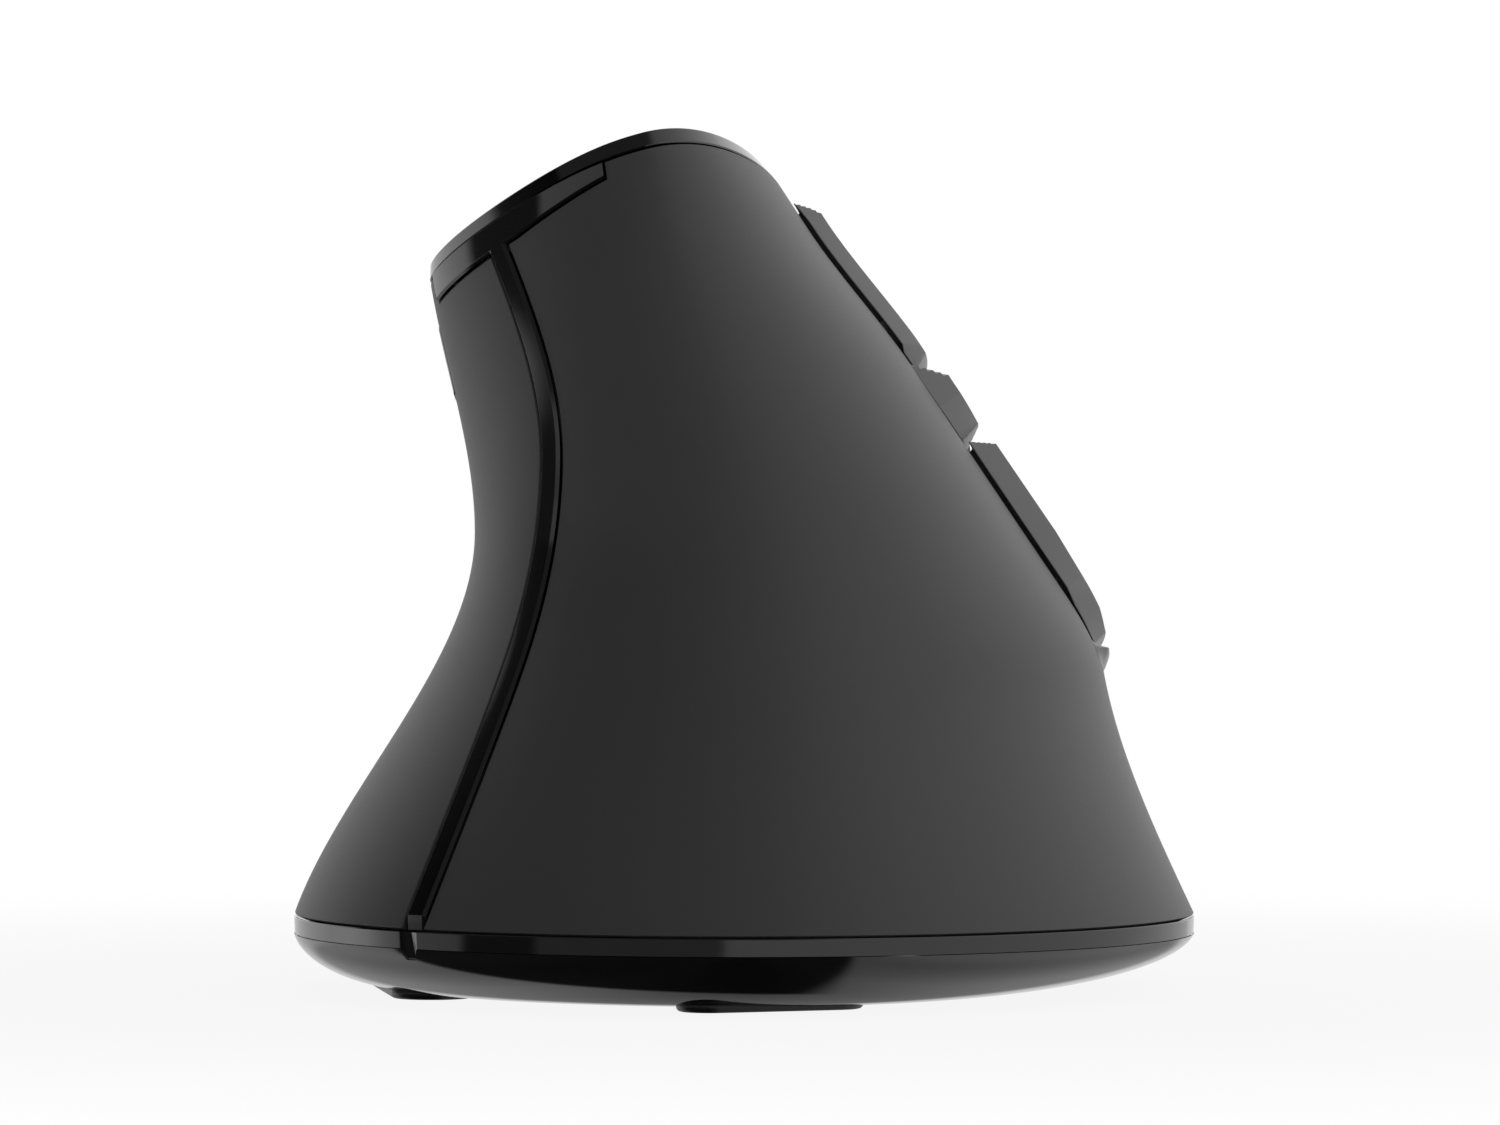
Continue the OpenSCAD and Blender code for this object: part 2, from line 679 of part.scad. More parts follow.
// Scroll wheel
tyre_t = 1.8;
spoke_r = 4.7;
spoke_hole_r = 1.6;
module wheel_tyre() {
  color(rubber) on_face() translate([0, 0, axle_z]) rotate([90, 0, 0]) rotate_extrude()
    polygon([
      for (s = [-1, 1]) [wheel_r - tyre_t, s * wheel_w / 2],
      for (a = [0 : 15 : 180]) [wheel_r - tyre_t + 0.5 + (tyre_t - 0.5) * sin(a), wheel_w / 2 * cos(a)]
    ]);
}
module wheel_hub() {
  color(satin) on_face() translate([0, 0, axle_z]) rotate([90, 0, 0]) difference() {
    cylinder(r = wheel_r - tyre_t - 0.02, h = wheel_w, center = true);
    cylinder(r = axle_r + 0.02, h = wheel_w + 1, center = true);
    for (a = [0 : 60 : 300]) rotate(a) translate([spoke_r, 0, 0])
      cylinder(r = spoke_hole_r, h = wheel_w + 1, center = true);
  }
}
carrier_in = [2 * wheel_r + 1.4, wheel_w + 1.4];
carrier_wall = 1.6;
carrier_h = 3;
encoder_t = 3.6;
encoder_rise = 2.8;
guide_t = 1.6;
encoder_y = carrier_in.y / 2 + carrier_wall + guide_t + 2 * touch_gap;
guide_at = [carrier_in.x / 2 - 2, carrier_in.y / 2 + carrier_wall + guide_t / 2 + touch_gap];
module wheel_axle() {
  color(steel) on_face() translate([0, carrier_in.y / 2 + carrier_wall, axle_z]) rotate([90, 0, 0])
    cylinder(r = axle_r, h = carrier_in.y / 2 + carrier_wall + encoder_y + encoder_t - 0.6);
}

// Sprung frame round the wheel: it carries the axle and presses the wheel switch
wheel_switch_x = carrier_in.x / 2 + carrier_wall + tact_size.x / 2 + 0.4;
module wheel_carrier() {
  arm_t = 1.6;
  color(switch_black) on_face() difference() {
    union() {
      translate([0, 0, axle_z - carrier_h / 2]) difference() {
        block([carrier_in.x + 2 * carrier_wall, carrier_in.y + 2 * carrier_wall, carrier_h]);
        translate([0, 0, -1]) block([carrier_in.x, carrier_in.y, carrier_h + 2]);
      }
      translate([carrier_in.x / 2 + carrier_wall / 2, -2, tact_stop])
        cube([wheel_switch_x - carrier_in.x / 2, 4, arm_t]);
    }
    translate([0, 0, axle_z]) rotate([90, 0, 0]) cylinder(r = axle_r + bore_gap, h = 40, center = true);
  }
}

// Feet: low-friction pads set in pockets of the bottom shell
feet = [
  [[-0.036 * base_w, -0.396 * base_l], [0.091 * base_w, -0.354 * base_l], 2.8],
  [[-0.339 * base_w, -0.205 * base_l], [-0.386 * base_w, 0.042 * base_l], 3.6],
  [[0.257 * base_w, 0.305 * base_l], [0.328 * base_w, 0.226 * base_l], 2.8]
];
foot_step = 15;
module stadium(foot, grow) {
  run = foot[1] - foot[0];
  along = atan2(run.y, run.x);
  function end(p, from) = [
    for (a = [from : foot_step : from + 180]) p + (foot[2] + grow) * [cos(along + a), sin(along + a)]
  ];
  polygon(concat(end(foot[1], -90), end(foot[0], 90)));
}
module foot_pockets(grow) {
  for (f = feet) translate([0, 0, -1]) linear_extrude(1 + foot_t + seam_gap / 2) stadium(f, grow);
}
module foot(k) { color(pad_grey) linear_extrude(foot_t) stadium(feet[k], 0); }
module rear_foot() { foot(0); }
module left_foot() { foot(1); }
module front_foot() { foot(2); }

// Battery bay
module battery_door() {
  size = [tray_in.x - 2 * run_gap, tray_in.y - 2 * run_gap, floor_t - 0.3];
  color(gloss) translate([tray_mid.x, tray_mid.y, belly_h]) difference() {
    block(size);
    for (k = [-2 : 2]) translate([0, size.y / 2 - 5 + k * 1.4, -0.5]) block([9, 0.7, 0.9]);
  }
}
module battery_tray() {
  color(switch_black) translate([tray_mid.x, tray_mid.y, floor_top]) difference() {
    block([tray_in.x + 2 * tray_t, tray_in.y + 2 * tray_t, tray_in_h + tray_t]);
    translate([0, 0, -1]) block([tray_in.x, tray_in.y, tray_in_h + 1]);
  }
}
cell_z = floor_top + tray_in_h - cell_d / 2 - 0.1;
nub_r = 1.9;
nub_l = 0.8;
module battery_cells() {
  color("#7d8288") for (side = [-1, 1]) translate([tray_mid.x + side * cell_pitch / 2, tray_mid.y, cell_z])
    rotate([side * 90, 0, 0]) translate([0, 0, -cell_l / 2]) {
      cylinder(d = cell_d, h = cell_l - nub_l);
      cylinder(r = nub_r, h = cell_l);
    }
}
module battery_contacts() {
  contact_t = 0.5;
  contact_y = tray_in.y / 2 - contact_t - 0.1;
  color(steel) for (x = [-1, 1], y = [-1, 1])
    translate([tray_mid.x + x * cell_pitch / 2, tray_mid.y + y * (contact_y + contact_t / 2), cell_z - 4])
      block([8, contact_t, 8]);
}

// Power switch and its knob
module power_switch() {
  color(switch_black) translate([power_at.x, power_at.y, floor_top + 0.4])
    block([4, 9, main_low - floor_top - 0.4]);
}
module power_knob() {
  color(rubber) translate([power_at.x, power_at.y - power_travel / 2, 0]) {
    translate([0, 0, belly_h + 0.2]) block([4, 5, 0.8]);
    translate([0, 0, belly_h + 0.2]) block([2, 2, floor_top + 0.2 - belly_h - 0.2]);
  }
}

// USB receiver, stowed plug up in its sleeve
module receiver_cap() {
  color(switch_black) translate([receiver_at.x, receiver_at.y, belly_h + 0.1]) block(receiver_cap_size);
}
module receiver_plug() {
  low = belly_h + 0.1 + receiver_cap_size.z;
  color(steel) translate([receiver_at.x, receiver_at.y, low]) difference() {
    block([receiver_plug_size.x, receiver_plug_size.y, receiver_h - receiver_cap_size.z]);
    translate([0, 0, 2]) block([receiver_plug_size.x - 0.8, receiver_plug_size.y - 2.6, 20]);
  }
}

// Main board with the sensor
module main_board() {
  color(board_green) translate([board_at.x, board_at.y, main_low]) difference() {
    block([board_size.x, board_size.y, board_t]);
    translate([sensor_at.x - board_at.x, sensor_at.y - board_at.y, -1]) cylinder(r = 2.4, h = 4);
    for (y = [-1, 1]) translate([0, y * (board_size.y / 2 - 2), -1]) cylinder(r = 0.9, h = 4);
  }
}
module sensor_chip() {
  color(switch_black) translate([sensor_at.x, sensor_at.y, main_low + board_t]) block([9, 9.6, 2.4]);
}
module sensor_lens() {
  color(clear_lens) translate([sensor_at.x, sensor_at.y, 0]) {
    translate([0, 0, floor_top]) block([10, 12, main_low - floor_top]);
    translate([0, 0, belly_h + 0.5]) block([8, 6, floor_top - belly_h]);
  }
}
module board_screws() {
  color(steel) for (y = [-1, 1])
    translate([board_at.x, board_at.y + y * (board_size.y / 2 - 2), main_low + board_t]) {
      cylinder(r = 1.6, h = 1);
      translate([0, 0, -board_t]) cylinder(r = 0.8, h = board_t);
    }
}

// Inner frame: four posts, a deck, and the leaning wall behind the button board
deck = [[-23.8, -27], [-14, -27], [27, -17.5], [27, 20], [-23.8, 20]];
wall_x = [-25, 17];
wall_y = [-20, 19];
wall_foot = from_face([0, wall_y[0], board_low - chassis_t]).z;
rib_at = [12, -6];
rib_size = [3, 24, 10];
thumb_board_x = -15.6;
bracket_z = (thumb_spots[0].z + thumb_spots[1].z) / 2 - 6.3;
bracket_y = -8;
bracket_size = [22, 26, 2];
bracket_plate = [1.6, 26, 11];
thumb_board_size = [24, 10];
beyond = 60;
module chassis() {
  color(switch_black) difference() {
    union() {
      for (p = post_at) translate([p.x, p.y, boss_h]) cylinder(r = post_r, h = deck_low - boss_h + deck_t);
      translate([0, 0, deck_low]) linear_extrude(deck_t) polygon(deck);
      translate([rib_at.x, rib_at.y, deck_low])
        cube([rib_size.x, rib_size.y, max(rib_size.z, wall_foot - deck_low + rib_size.x)]);
      on_face() translate([wall_x[0], wall_y[0], board_low - chassis_t])
        cube([wall_x[1] - wall_x[0], wall_y[1] - wall_y[0], chassis_t]);
      difference() {
        translate([thumb_board_x + board_t, bracket_y, bracket_z]) {
          cube(bracket_size);
          cube(bracket_plate);
        }
        on_face() translate([-beyond, -beyond, board_low - chassis_t / 2]) cube(2 * beyond);
      }
      on_face() for (x = [-1, 1], y = [-1, 1])
        translate([x * guide_at.x, y * guide_at.y, board_low - 1])
          block([3, guide_t, axle_z - board_low + 2]);
      on_face() for (h = [upper_hinge, lower_hinge]) {
        translate([h.x, h.y, board_low - chassis_t]) block([stand_l, 2 * stand_out + stand_w, chassis_t]);
        for (side = [-1, 1]) translate([h.x, h.y + side * stand_out, board_low - 1])
          block([stand_l, stand_w, h.z - hinge_drop - board_low + 1]);
      }
    }
    for (p = post_at) translate([p.x, p.y, 0]) cylinder(r = screw_r + bore_gap, h = boss_h + 9);
    on_face() {
      translate([0, 0, board_low - 12]) block([carrier_in.x, carrier_in.y, 20]);
      for (h = [upper_hinge, lower_hinge])
        translate([h.x, h.y, h.z - hinge_drop]) rotate([90, 0, 0])
          cylinder(r = hinge_r + bore_gap, h = 20, center = true);
    }
  }
}

// Button board, on the leaning wall
module button_board() {
  color(board_green) on_face() difference() {
    translate([wall_x[0], wall_y[0] + 1, board_low])
      cube([wall_x[1] - wall_x[0], wall_y[1] - wall_y[0] - 2, board_t]);
    translate([0, 0, board_low - 1]) block([carrier_in.x, carrier_in.y, 5]);
    for (x = [-1, 1], y = [-1, 1])
      translate([x * guide_at.x, y * guide_at.y, board_low - 1]) block([3.4, guide_t + 0.4, 5]);
    for (h = [upper_hinge, lower_hinge]) for (side = [-1, 1])
      translate([h.x, h.y + side * stand_out, board_low - 1]) block([stand_l + 0.4, stand_w + 0.4, 5]);
  }
}

// Click switches and their plungers
module click_switch(spot) {
  color(switch_black) on_face() translate([spot.x, spot.y, board_top]) difference() {
    block(click_size);
    translate([0, 0, click_size.z - 2.4 - click_travel - run_gap]) cylinder(r = click_bore, h = 4);
  }
}
module click_plunger(spot) {
  color(plunger_red) on_face() translate([spot.x, spot.y, board_top + click_size.z - 2.4])
    cylinder(r = click_bore - click_play, h = 2.4 + plunger_rise);
}
module upper_switch() { click_switch(upper_press); }
module lower_switch() { click_switch(lower_press); }
module upper_plunger() { click_plunger(upper_press); }
module lower_plunger() { click_plunger(lower_press); }

// Tact switches under the wheel carrier and the small buttons
module tact_body(size) {
  difference() {
    block(size);
    translate([0, 0, size.z - 0.7 - tact_travel - run_gap]) cylinder(r = tact_r + bore_gap, h = 2);
  }
}
module tact_plunger(size) {
  translate([0, 0, size.z - 0.7]) cylinder(r = tact_r, h = 0.7 + tact_rise);
}
module on_board(x, y) { on_face() translate([x, y, board_top]) children(); }
module wheel_switch() { color(switch_black) on_board(wheel_switch_x, 0) tact_body(tact_size); }
module wheel_plunger() { color(plunger_red) on_board(wheel_switch_x, 0) tact_plunger(tact_size); }
module dpi_switch() { color(switch_black) on_board(dpi_press.x, dpi_press.y) tact_body(tact_size); }
module dpi_plunger() { color(plunger_red) on_board(dpi_press.x, dpi_press.y) tact_plunger(tact_size); }
module wheel_encoder() {
  color("#2f4f7a") on_face() difference() {
    translate([0, -encoder_y - encoder_t / 2, board_top])
      block([7.6, encoder_t, axle_z - board_top + encoder_rise]);
    translate([0, 0, axle_z]) rotate([90, 0, 0])
      cylinder(r = axle_r + tact_travel + run_gap, h = 60, center = true);
  }
}

// Thumb board with its two switches
thumb_tact = [tact_size.x, tact_size.y, thumb_board_x - thumb_stop - tact_rise];
module on_thumb(spot) { translate([thumb_board_x, spot.y, spot.z]) rotate([0, -90, 0]) children(); }
module thumb_board() {
  color(board_green) translate([thumb_board_x, bracket_y + 1, bracket_z + bracket_size.z + seam_gap])
    cube([board_t, thumb_board_size.x, thumb_board_size.y]);
}
module thumb_switches() { color(switch_black) for (s = thumb_spots) on_thumb(s) tact_body(thumb_tact); }
module forward_plunger() { color(plunger_red) on_thumb(thumb_spots[0]) tact_plunger(thumb_tact); }
module back_plunger() { color(plunger_red) on_thumb(thumb_spots[1]) tact_plunger(thumb_tact); }

// Screws that hold the bottom shell to the posts
module base_screws() {
  color(steel) for (p = post_at) translate([p.x, p.y, head_low]) {
    cylinder(r = screw_head_r, h = screw_head_t);
    cylinder(r = screw_r, h = 10);
  }
}

base_shell();
skirt_ring();
thumb_cover();
palm_cover();
spine_trim();
nose_trim();
top_cap();
button_frame();
finger_ledge();
upper_button();
lower_button();
dpi_button();
forward_button();
back_button();
wheel_tyre();
wheel_hub();
wheel_axle();
wheel_carrier();
rear_foot();
left_foot();
front_foot();
battery_door();
battery_tray();
battery_cells();
battery_contacts();
power_knob();
power_switch();
receiver_cap();
receiver_plug();
main_board();
sensor_chip();
sensor_lens();
chassis();
button_board();
upper_switch();
lower_switch();
upper_plunger();
lower_plunger();
wheel_switch();
wheel_plunger();
wheel_encoder();
dpi_switch();
dpi_plunger();
thumb_board();
thumb_switches();
forward_plunger();
back_plunger();
base_screws();
board_screws();
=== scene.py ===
"""Looks of a right-handed vertical mouse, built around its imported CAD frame.

The covers, trim, skirt and buttons are modelled again as fine meshes on the same skin that shapes
the solids. Sizes are in millimetres; a mesh is written in metres.
"""

import json
import logging
import math
from dataclasses import dataclass
from enum import Enum
from typing import Callable, Iterable

import bmesh
import bpy
import numpy as np
from bpy.types import Material, Mesh, Node, NodeSocket, NodeTree, Object
from mathutils import Matrix, Vector


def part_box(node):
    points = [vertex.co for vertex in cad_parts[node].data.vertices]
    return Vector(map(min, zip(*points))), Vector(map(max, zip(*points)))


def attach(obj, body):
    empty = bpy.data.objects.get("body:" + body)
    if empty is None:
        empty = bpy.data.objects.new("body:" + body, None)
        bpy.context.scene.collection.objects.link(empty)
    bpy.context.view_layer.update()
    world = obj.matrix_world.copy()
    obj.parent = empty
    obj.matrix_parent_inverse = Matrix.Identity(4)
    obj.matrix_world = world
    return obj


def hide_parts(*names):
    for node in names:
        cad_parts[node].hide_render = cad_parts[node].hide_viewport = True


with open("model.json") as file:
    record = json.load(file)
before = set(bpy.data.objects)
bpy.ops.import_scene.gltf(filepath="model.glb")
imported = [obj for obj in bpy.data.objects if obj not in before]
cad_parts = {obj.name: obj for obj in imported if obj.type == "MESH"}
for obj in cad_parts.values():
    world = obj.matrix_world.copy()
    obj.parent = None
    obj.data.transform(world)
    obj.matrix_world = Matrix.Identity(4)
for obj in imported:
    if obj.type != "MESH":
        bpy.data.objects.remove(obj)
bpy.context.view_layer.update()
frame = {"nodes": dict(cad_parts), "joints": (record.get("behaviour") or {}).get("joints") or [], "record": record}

LOG = logging.getLogger("vertical_mouse")
MM = 0.001
SAME_SPOT = 1e-7
MEETING_ROUNDS = 12
LATTICE_ROUNDS = 6
START_HEIGHT = 40.0
FULL_TURN = 4
Array = np.ndarray
BMesh = bmesh.types.BMesh
Line = Callable[[Array], Array]
Rise = Callable[[Array, Array, Array], Array]
Knots = tuple[tuple[float, float], ...]
Shade = tuple[float, float, float]


class Body(Enum):
    """Rigid bodies that the pieces ride on."""

    SHELL = "body"
    UPPER_CLICK = "upper_click"
    LOWER_CLICK = "lower_click"
    DPI_KEY = "dpi_key"
    FORWARD_KEY = "forward_key"
    BACK_KEY = "back_key"
    WHEEL = "wheel"


# Skin of the mouse


def unit(value: Array) -> Array:
    """Limits values to the span from 0 to 1."""
    return np.clip(value, 0.0, 1.0)


@dataclass(frozen=True)
class Profile:
    """Smooth curve through knots (height, value, slope), straight beyond both ends."""

    knots: tuple[tuple[float, float, float], ...]

    def at(self, height: Array) -> Array:
        """Reads the curve.

        Args:
            height: Heights above the desk.

        Returns:
            The curve's value at each height.
        """
        h, v, s = np.array(self.knots).T
        i = np.clip(np.searchsorted(h, height, side="right") - 1, 0, len(h) - 2)
        span = h[i + 1] - h[i]
        free = (height - h[i]) / span
        t = unit(free)
        inside = (
            v[i] * (1 + 2 * t) * (1 - t) ** 2
            + s[i] * span * t * (1 - t) ** 2
            + v[i + 1] * t**2 * (3 - 2 * t)
            + s[i + 1] * span * t**2 * (t - 1)
        )
        below = np.minimum(free, 0.0) * span * s[i]
        above = np.maximum(free - 1.0, 0.0) * span * s[i + 1]
        return inside + below + above


@dataclass(frozen=True)
class BodySkin:
    """Outer skin as a function of a turn u and a height z.

    u is 0 on the thumb side, 1 at the heel, 2 on the finger side and 3 at the nose.
    """

    seam: float = 6.6
    roll: float = 15.3
    pitch: float = 11.8
    left: Profile = Profile(((6.6, 38.9, -0.35), (39.5, 23.4, 0.0), (66.0, 27.8, 0.05)))
    right: Profile = Profile(
        (
            (6.6, 38.9, -0.46),
            (27.0, 31.6, -0.17),
            (36.0, 27.0, -0.68),
            (54.0, 14.76, -0.68),
            (66.0, 5.56, -0.66),
        )
    )
    rear: Profile = Profile(((6.6, -47.5, 0.44), (42.0, -33.0, 0.12), (66.0, -29.8, 0.1)))
    front: Profile = Profile(((6.6, 47.5, -0.4), (30.0, 41.0, -0.22), (66.0, 29.0, -0.46)))
    heel_x: Profile = Profile(((6.6, 0.0, 0.0), (40.0, -1.5, -0.15), (66.0, -7.4, -0.18)))
    nose_x: Profile = Profile(((6.6, 0.0, -0.2), (40.0, -5.0, -0.2), (66.0, -11.5, -0.25)))
    left_y: Profile = Profile(((6.6, -6.5, 0.1), (66.0, -4.9, 0.0)))
    right_y: Profile = Profile(((6.6, -6.5, 0.3), (36.0, 4.0, 0.0), (66.0, -1.0, -0.2)))
    edge: Profile = Profile(((6.6, 1.0, 0.0), (40.0, 1.12, 0.009), (66.0, 1.42, 0.01)))
    spine_x: Profile = Profile(
        ((6.6, -27.4, 0.38), (28.0, -19.4, 0.34), (46.0, -16.2, 0.0), (66.0, -21.8, -0.4))
    )

    def point(self, u: Array, z: Array) -> Array:
        """Finds points of the skin.

        Args:
            u: Turns round the body.
            z: Heights above the desk.

        Returns:
            Points, one row each.
        """
        quarter = np.floor(u).astype(int) % 4
        turn = (u - np.floor(u)) * math.pi / 2
        c, s = np.cos(turn), np.sin(turn)
        edge = self.edge.at(z)
        across = np.choose(quarter, [c ** (1 + (edge - 1) * c), s, c, s])
        along = np.choose(quarter, [s**edge, c, s, c])
        thumb_side = (quarter == 0) | (quarter == 3)
        flank = np.where(thumb_side, -self.left.at(z), self.right.at(z))
        flank_y = np.where(thumb_side, self.left_y.at(z), self.right_y.at(z))
        end_x = np.where(quarter < 2, self.heel_x.at(z), self.nose_x.at(z))
        end_y = np.where(quarter < 2, self.rear.at(z), self.front.at(z))
        return np.stack([end_x + (flank - end_x) * across, flank_y + (end_y - flank_y) * along, z], axis=-1)

    def normal(self, u: Array, z: Array) -> Array:
        """Finds the skin's outward directions.

        Args:
            u: Turns round the body.
            z: Heights above the desk.

        Returns:
            Unit normals, one row each.
        """
        du, dz = 0.01, 0.25
        n = np.cross(
            self.point(u + du, z) - self.point(u - du, z),
            self.point(u, z + dz) - self.point(u, z - dz),
        )
        return n / np.linalg.norm(n, axis=-1, keepdims=True)

    def raised(self, u: Array, z: Array, rise: Array) -> Array:
        """Finds points that stand off the skin by a rise along its normal."""
        return self.point(u, z) + np.asarray(rise)[..., None] * self.normal(u, z)

    def slopes(self) -> tuple[float, float]:
        """Gives the slopes of the cap's plane across and along the body."""
        return math.tan(math.radians(self.roll)), math.tan(math.radians(self.pitch))

    def height_at(self, u: Array, level: Array | float) -> Array:
        """Finds where a plane parallel to the cap meets the skin.

        Args:
            u: Turns round the body.
            level: Height of the plane over the middle of the base.

        Returns:
            Heights of the meeting line.
        """
        slope_x, slope_y = self.slopes()
        z = np.zeros_like(u) + level
        for _ in range(MEETING_ROUNDS):
            p = self.point(u, z)
            z = level + slope_x * p[..., 0] - slope_y * p[..., 1]
        return z

    def level_at(self, u: Array, z: Array) -> Array:
        """Finds the level of the plane parallel to the cap through points of the skin."""
        p, (slope_x, slope_y) = self.point(u, z), self.slopes()
        return z - slope_x * p[..., 0] + slope_y * p[..., 1]

    def spine_turn(self, z: Array, side: float) -> Array:
        """Finds the turns of a line beside the spine.

        Args:
            z: Heights above the desk.
            side: Distance from the spine line, positive to the right.

        Returns:
            Turns round the body.
        """
        heel = self.heel_x.at(z)
        edge = self.edge.at(z)
        share = unit((heel - self.spine_x.at(z) - side) / (heel + self.left.at(z)))
        cosine = share
        for _ in range(MEETING_ROUNDS):
            cosine = share ** (1 / (1 + (edge - 1) * cosine))
        return np.arccos(unit(cosine)) * 2 / math.pi


SKIN = BodySkin()


@dataclass(frozen=True)
class CutLines:
    """Lines that divide the skin: levels parallel to the cap, and turns round the body."""

    cap_top: float = 69.1
    cap_seam: float = 67.6
    window_top: float = 65.9
    upper_low: float = 49.5
    lower_top: float = 42.4
    lower_low: float = 21.4
    window_low: float = 18.8
    thumb_top: float = 63.6
    thumb_low: float = 57.2
    arm: float = 1.3
    arm_flare: float = 1.2
    arm_run: float = 0.36
    brow_dip: float = 2.4
    brow_end: float = 1.7
    brow_run: float = 0.6
    spine_half: float = 0.8
    window_rear: float = 1.93
    window_front: float = 2.92
    dpi_front: float = 2.12
    nose_left: float = -0.91
    arm_left: float = 0.13
    arm_right: float = 0.865
    spine_top: float = 0.545
    thumb_front: float = -0.45
    thumb_split: float = -0.2
    thumb_rear: float = 0.05
    seam: float = 0.2
    run: float = 0.3
    turn_seam: float = 0.005
    turn_run: float = 0.0075

    def level(self, height: float) -> Line:
        """Gives the line of one level round the body."""
        return lambda u: SKIN.height_at(u, height)

    def levels(self, *heights: float) -> tuple[Line, ...]:
        """Gives the lines of several levels."""
        return tuple(self.level(height) for height in heights)

    def flat(self, height: float) -> Line:
        """Gives a line at one height above the desk."""
        return lambda u: np.full_like(u, height)

    def turn(self, u: float) -> Line:
        """Gives a line up the body at one turn."""
        return lambda z: np.full_like(z, u)

    def turns(self, *turns: float) -> tuple[Line, ...]:
        """Gives the lines at several turns."""
        return tuple(self.turn(u) for u in turns)

    def spine(self, side: float) -> Line:
        """Gives a line beside the spine."""
        return lambda z: SKIN.spine_turn(z, side)

    def arm_low(self, drop: float) -> Line:
        """Gives the lower edge of the spine's arms.

        Args:
            drop: How far the line is lowered.

        Returns:
            The line.
        """

        def line(u: Array) -> Array:
            """Finds the edge's heights."""
            flare = unit(1 - np.maximum(0, u - self.spine_top) / self.arm_run)
            return SKIN.height_at(u, self.cap_seam - self.arm - self.arm_flare * flare - drop)

        return line

    def brow(self) -> Line:
        """Gives the line over the button window, which dips behind it to clear the arms."""

        def line(u: Array) -> Array:
            """Finds the line's heights."""
            dip = self.brow_dip * unit((self.brow_end - u) / self.brow_run)
            return SKIN.height_at(u, self.window_top - dip)

        return line


CUT = CutLines()


# Mesh tools


def flat_grid(columns: int, rows: int) -> BMesh:
    """Starts a flat unit grid, from (0, 0) to (1, 1).

    Args:
        columns: Faces across.
        rows: Faces along.

    Returns:
        The grid's mesh.
    """
    bm = bmesh.new()
    bmesh.ops.create_grid(bm, x_segments=columns, y_segments=rows, size=0.5)
    bmesh.ops.translate(bm, verts=bm.verts, vec=(0.5, 0.5, 0.0))
    return bm


def shares(bm: BMesh) -> tuple[Array, Array]:
    """Reads each vertex's place on the flat grid as two shares."""
    flat = np.array([v.co[:2] for v in bm.verts])
    return flat[:, 0], flat[:, 1]


def lay(bm: BMesh, points: Array) -> None:
    """Moves the vertices to points given in millimetres."""
    for vert, point in zip(bm.verts, points * MM):
        vert.co = point


def blend(lines: tuple[Line, ...], share: Array, at: Array) -> Array:
    """Reads between neighbouring lines: share 1.5 lies halfway from line 1 to line 2.

    Args:
        lines: Lines in order.
        share: Where to read between them.
        at: Turns or heights along the lines.

    Returns:
        The lines' values there.
    """
    values = np.stack([line(at) for line in lines])
    k = np.clip(np.floor(share).astype(int), 0, len(lines) - 2)
    pick = np.arange(len(at))
    return values[k, pick] + (values[k + 1, pick] - values[k, pick]) * (share - k)


@dataclass(frozen=True)
class Lattice:
    """Patch of skin between column lines, which run up, and row lines, which run round.

    openings lists (column piece, row piece) pairs that stay open, and corner rounds the patch's
    corners, as shares of its width and height.
    """

    columns: tuple[Line, ...]
    column_steps: tuple[int, ...]
    rows: tuple[Line, ...]
    row_steps: tuple[int, ...]
    openings: frozenset[tuple[int, int]] = frozenset()
    corner: tuple[float, float] = (0.0, 0.0)

    def mesh(self, rise: Rise, sole: Rise | None = None) -> BMesh:
        """Builds the patch.

        Args:
            rise: Height over the skin for turns, column shares and row shares.
            sole: Height of the lower face, for a patch that is closed to a solid.

        Returns:
            The mesh, facing outwards.
        """
        marks = [np.cumsum((0, *steps)) for steps in (self.column_steps, self.row_steps)]
        bm = flat_grid(int(marks[0][-1]), int(marks[1][-1]))
        if self.openings:
            cut = []
            for face in bm.faces:
                centre = face.calc_center_median()
                cell = tuple(
                    int(np.searchsorted(mark, share * mark[-1], side="right")) - 1
                    for mark, share in zip(marks, centre[:2])
                )
                if cell in self.openings:
                    cut.append(face)
            bmesh.ops.delete(bm, geom=cut, context="FACES")
        if sole:
            grown = bmesh.ops.extrude_face_region(bm, geom=list(bm.faces))["geom"]
            lower = [item for item in grown if isinstance(item, bmesh.types.BMVert)]
            # The lower face waits one step down while the grid is flat.
            bmesh.ops.translate(bm, verts=lower, vec=(0, 0, -1))
        a, b = (np.interp(s * mark[-1], mark, np.arange(len(mark))) for s, mark in zip(shares(bm), marks))
        if self.corner[0]:
            a, b = self.rounded(a, b)
        z = np.full_like(a, START_HEIGHT)
        for _ in range(LATTICE_ROUNDS):
            u = blend(self.columns, a, z)
            z = blend(self.rows, b, u)
        height = rise(u, a, b)
        if sole:
            height = np.where([vert.co.z < -0.5 for vert in bm.verts], sole(u, a, b), height)
        lay(bm, SKIN.raised(u, z, height))
        if sole:
            bmesh.ops.recalc_face_normals(bm, faces=bm.faces)
        return bm

    def rounded(self, a: Array, b: Array) -> tuple[Array, Array]:
        """Pulls the corners of a one-piece patch in to arcs.

        Args:
            a: Column shares.
            b: Row shares.

        Returns:
            The moved shares.
        """
        wide, tall = self.corner
        b = 0.5 - 0.5 * np.cos(math.pi * b)
        a = 0.5 - 0.5 * np.cos(math.pi * a)
        reach = unit(np.minimum(b, 1 - b) / tall)
        inset = wide * (1 - np.sqrt(1 - (1 - reach) ** 2))
        return inset + a * (1 - 2 * inset), b


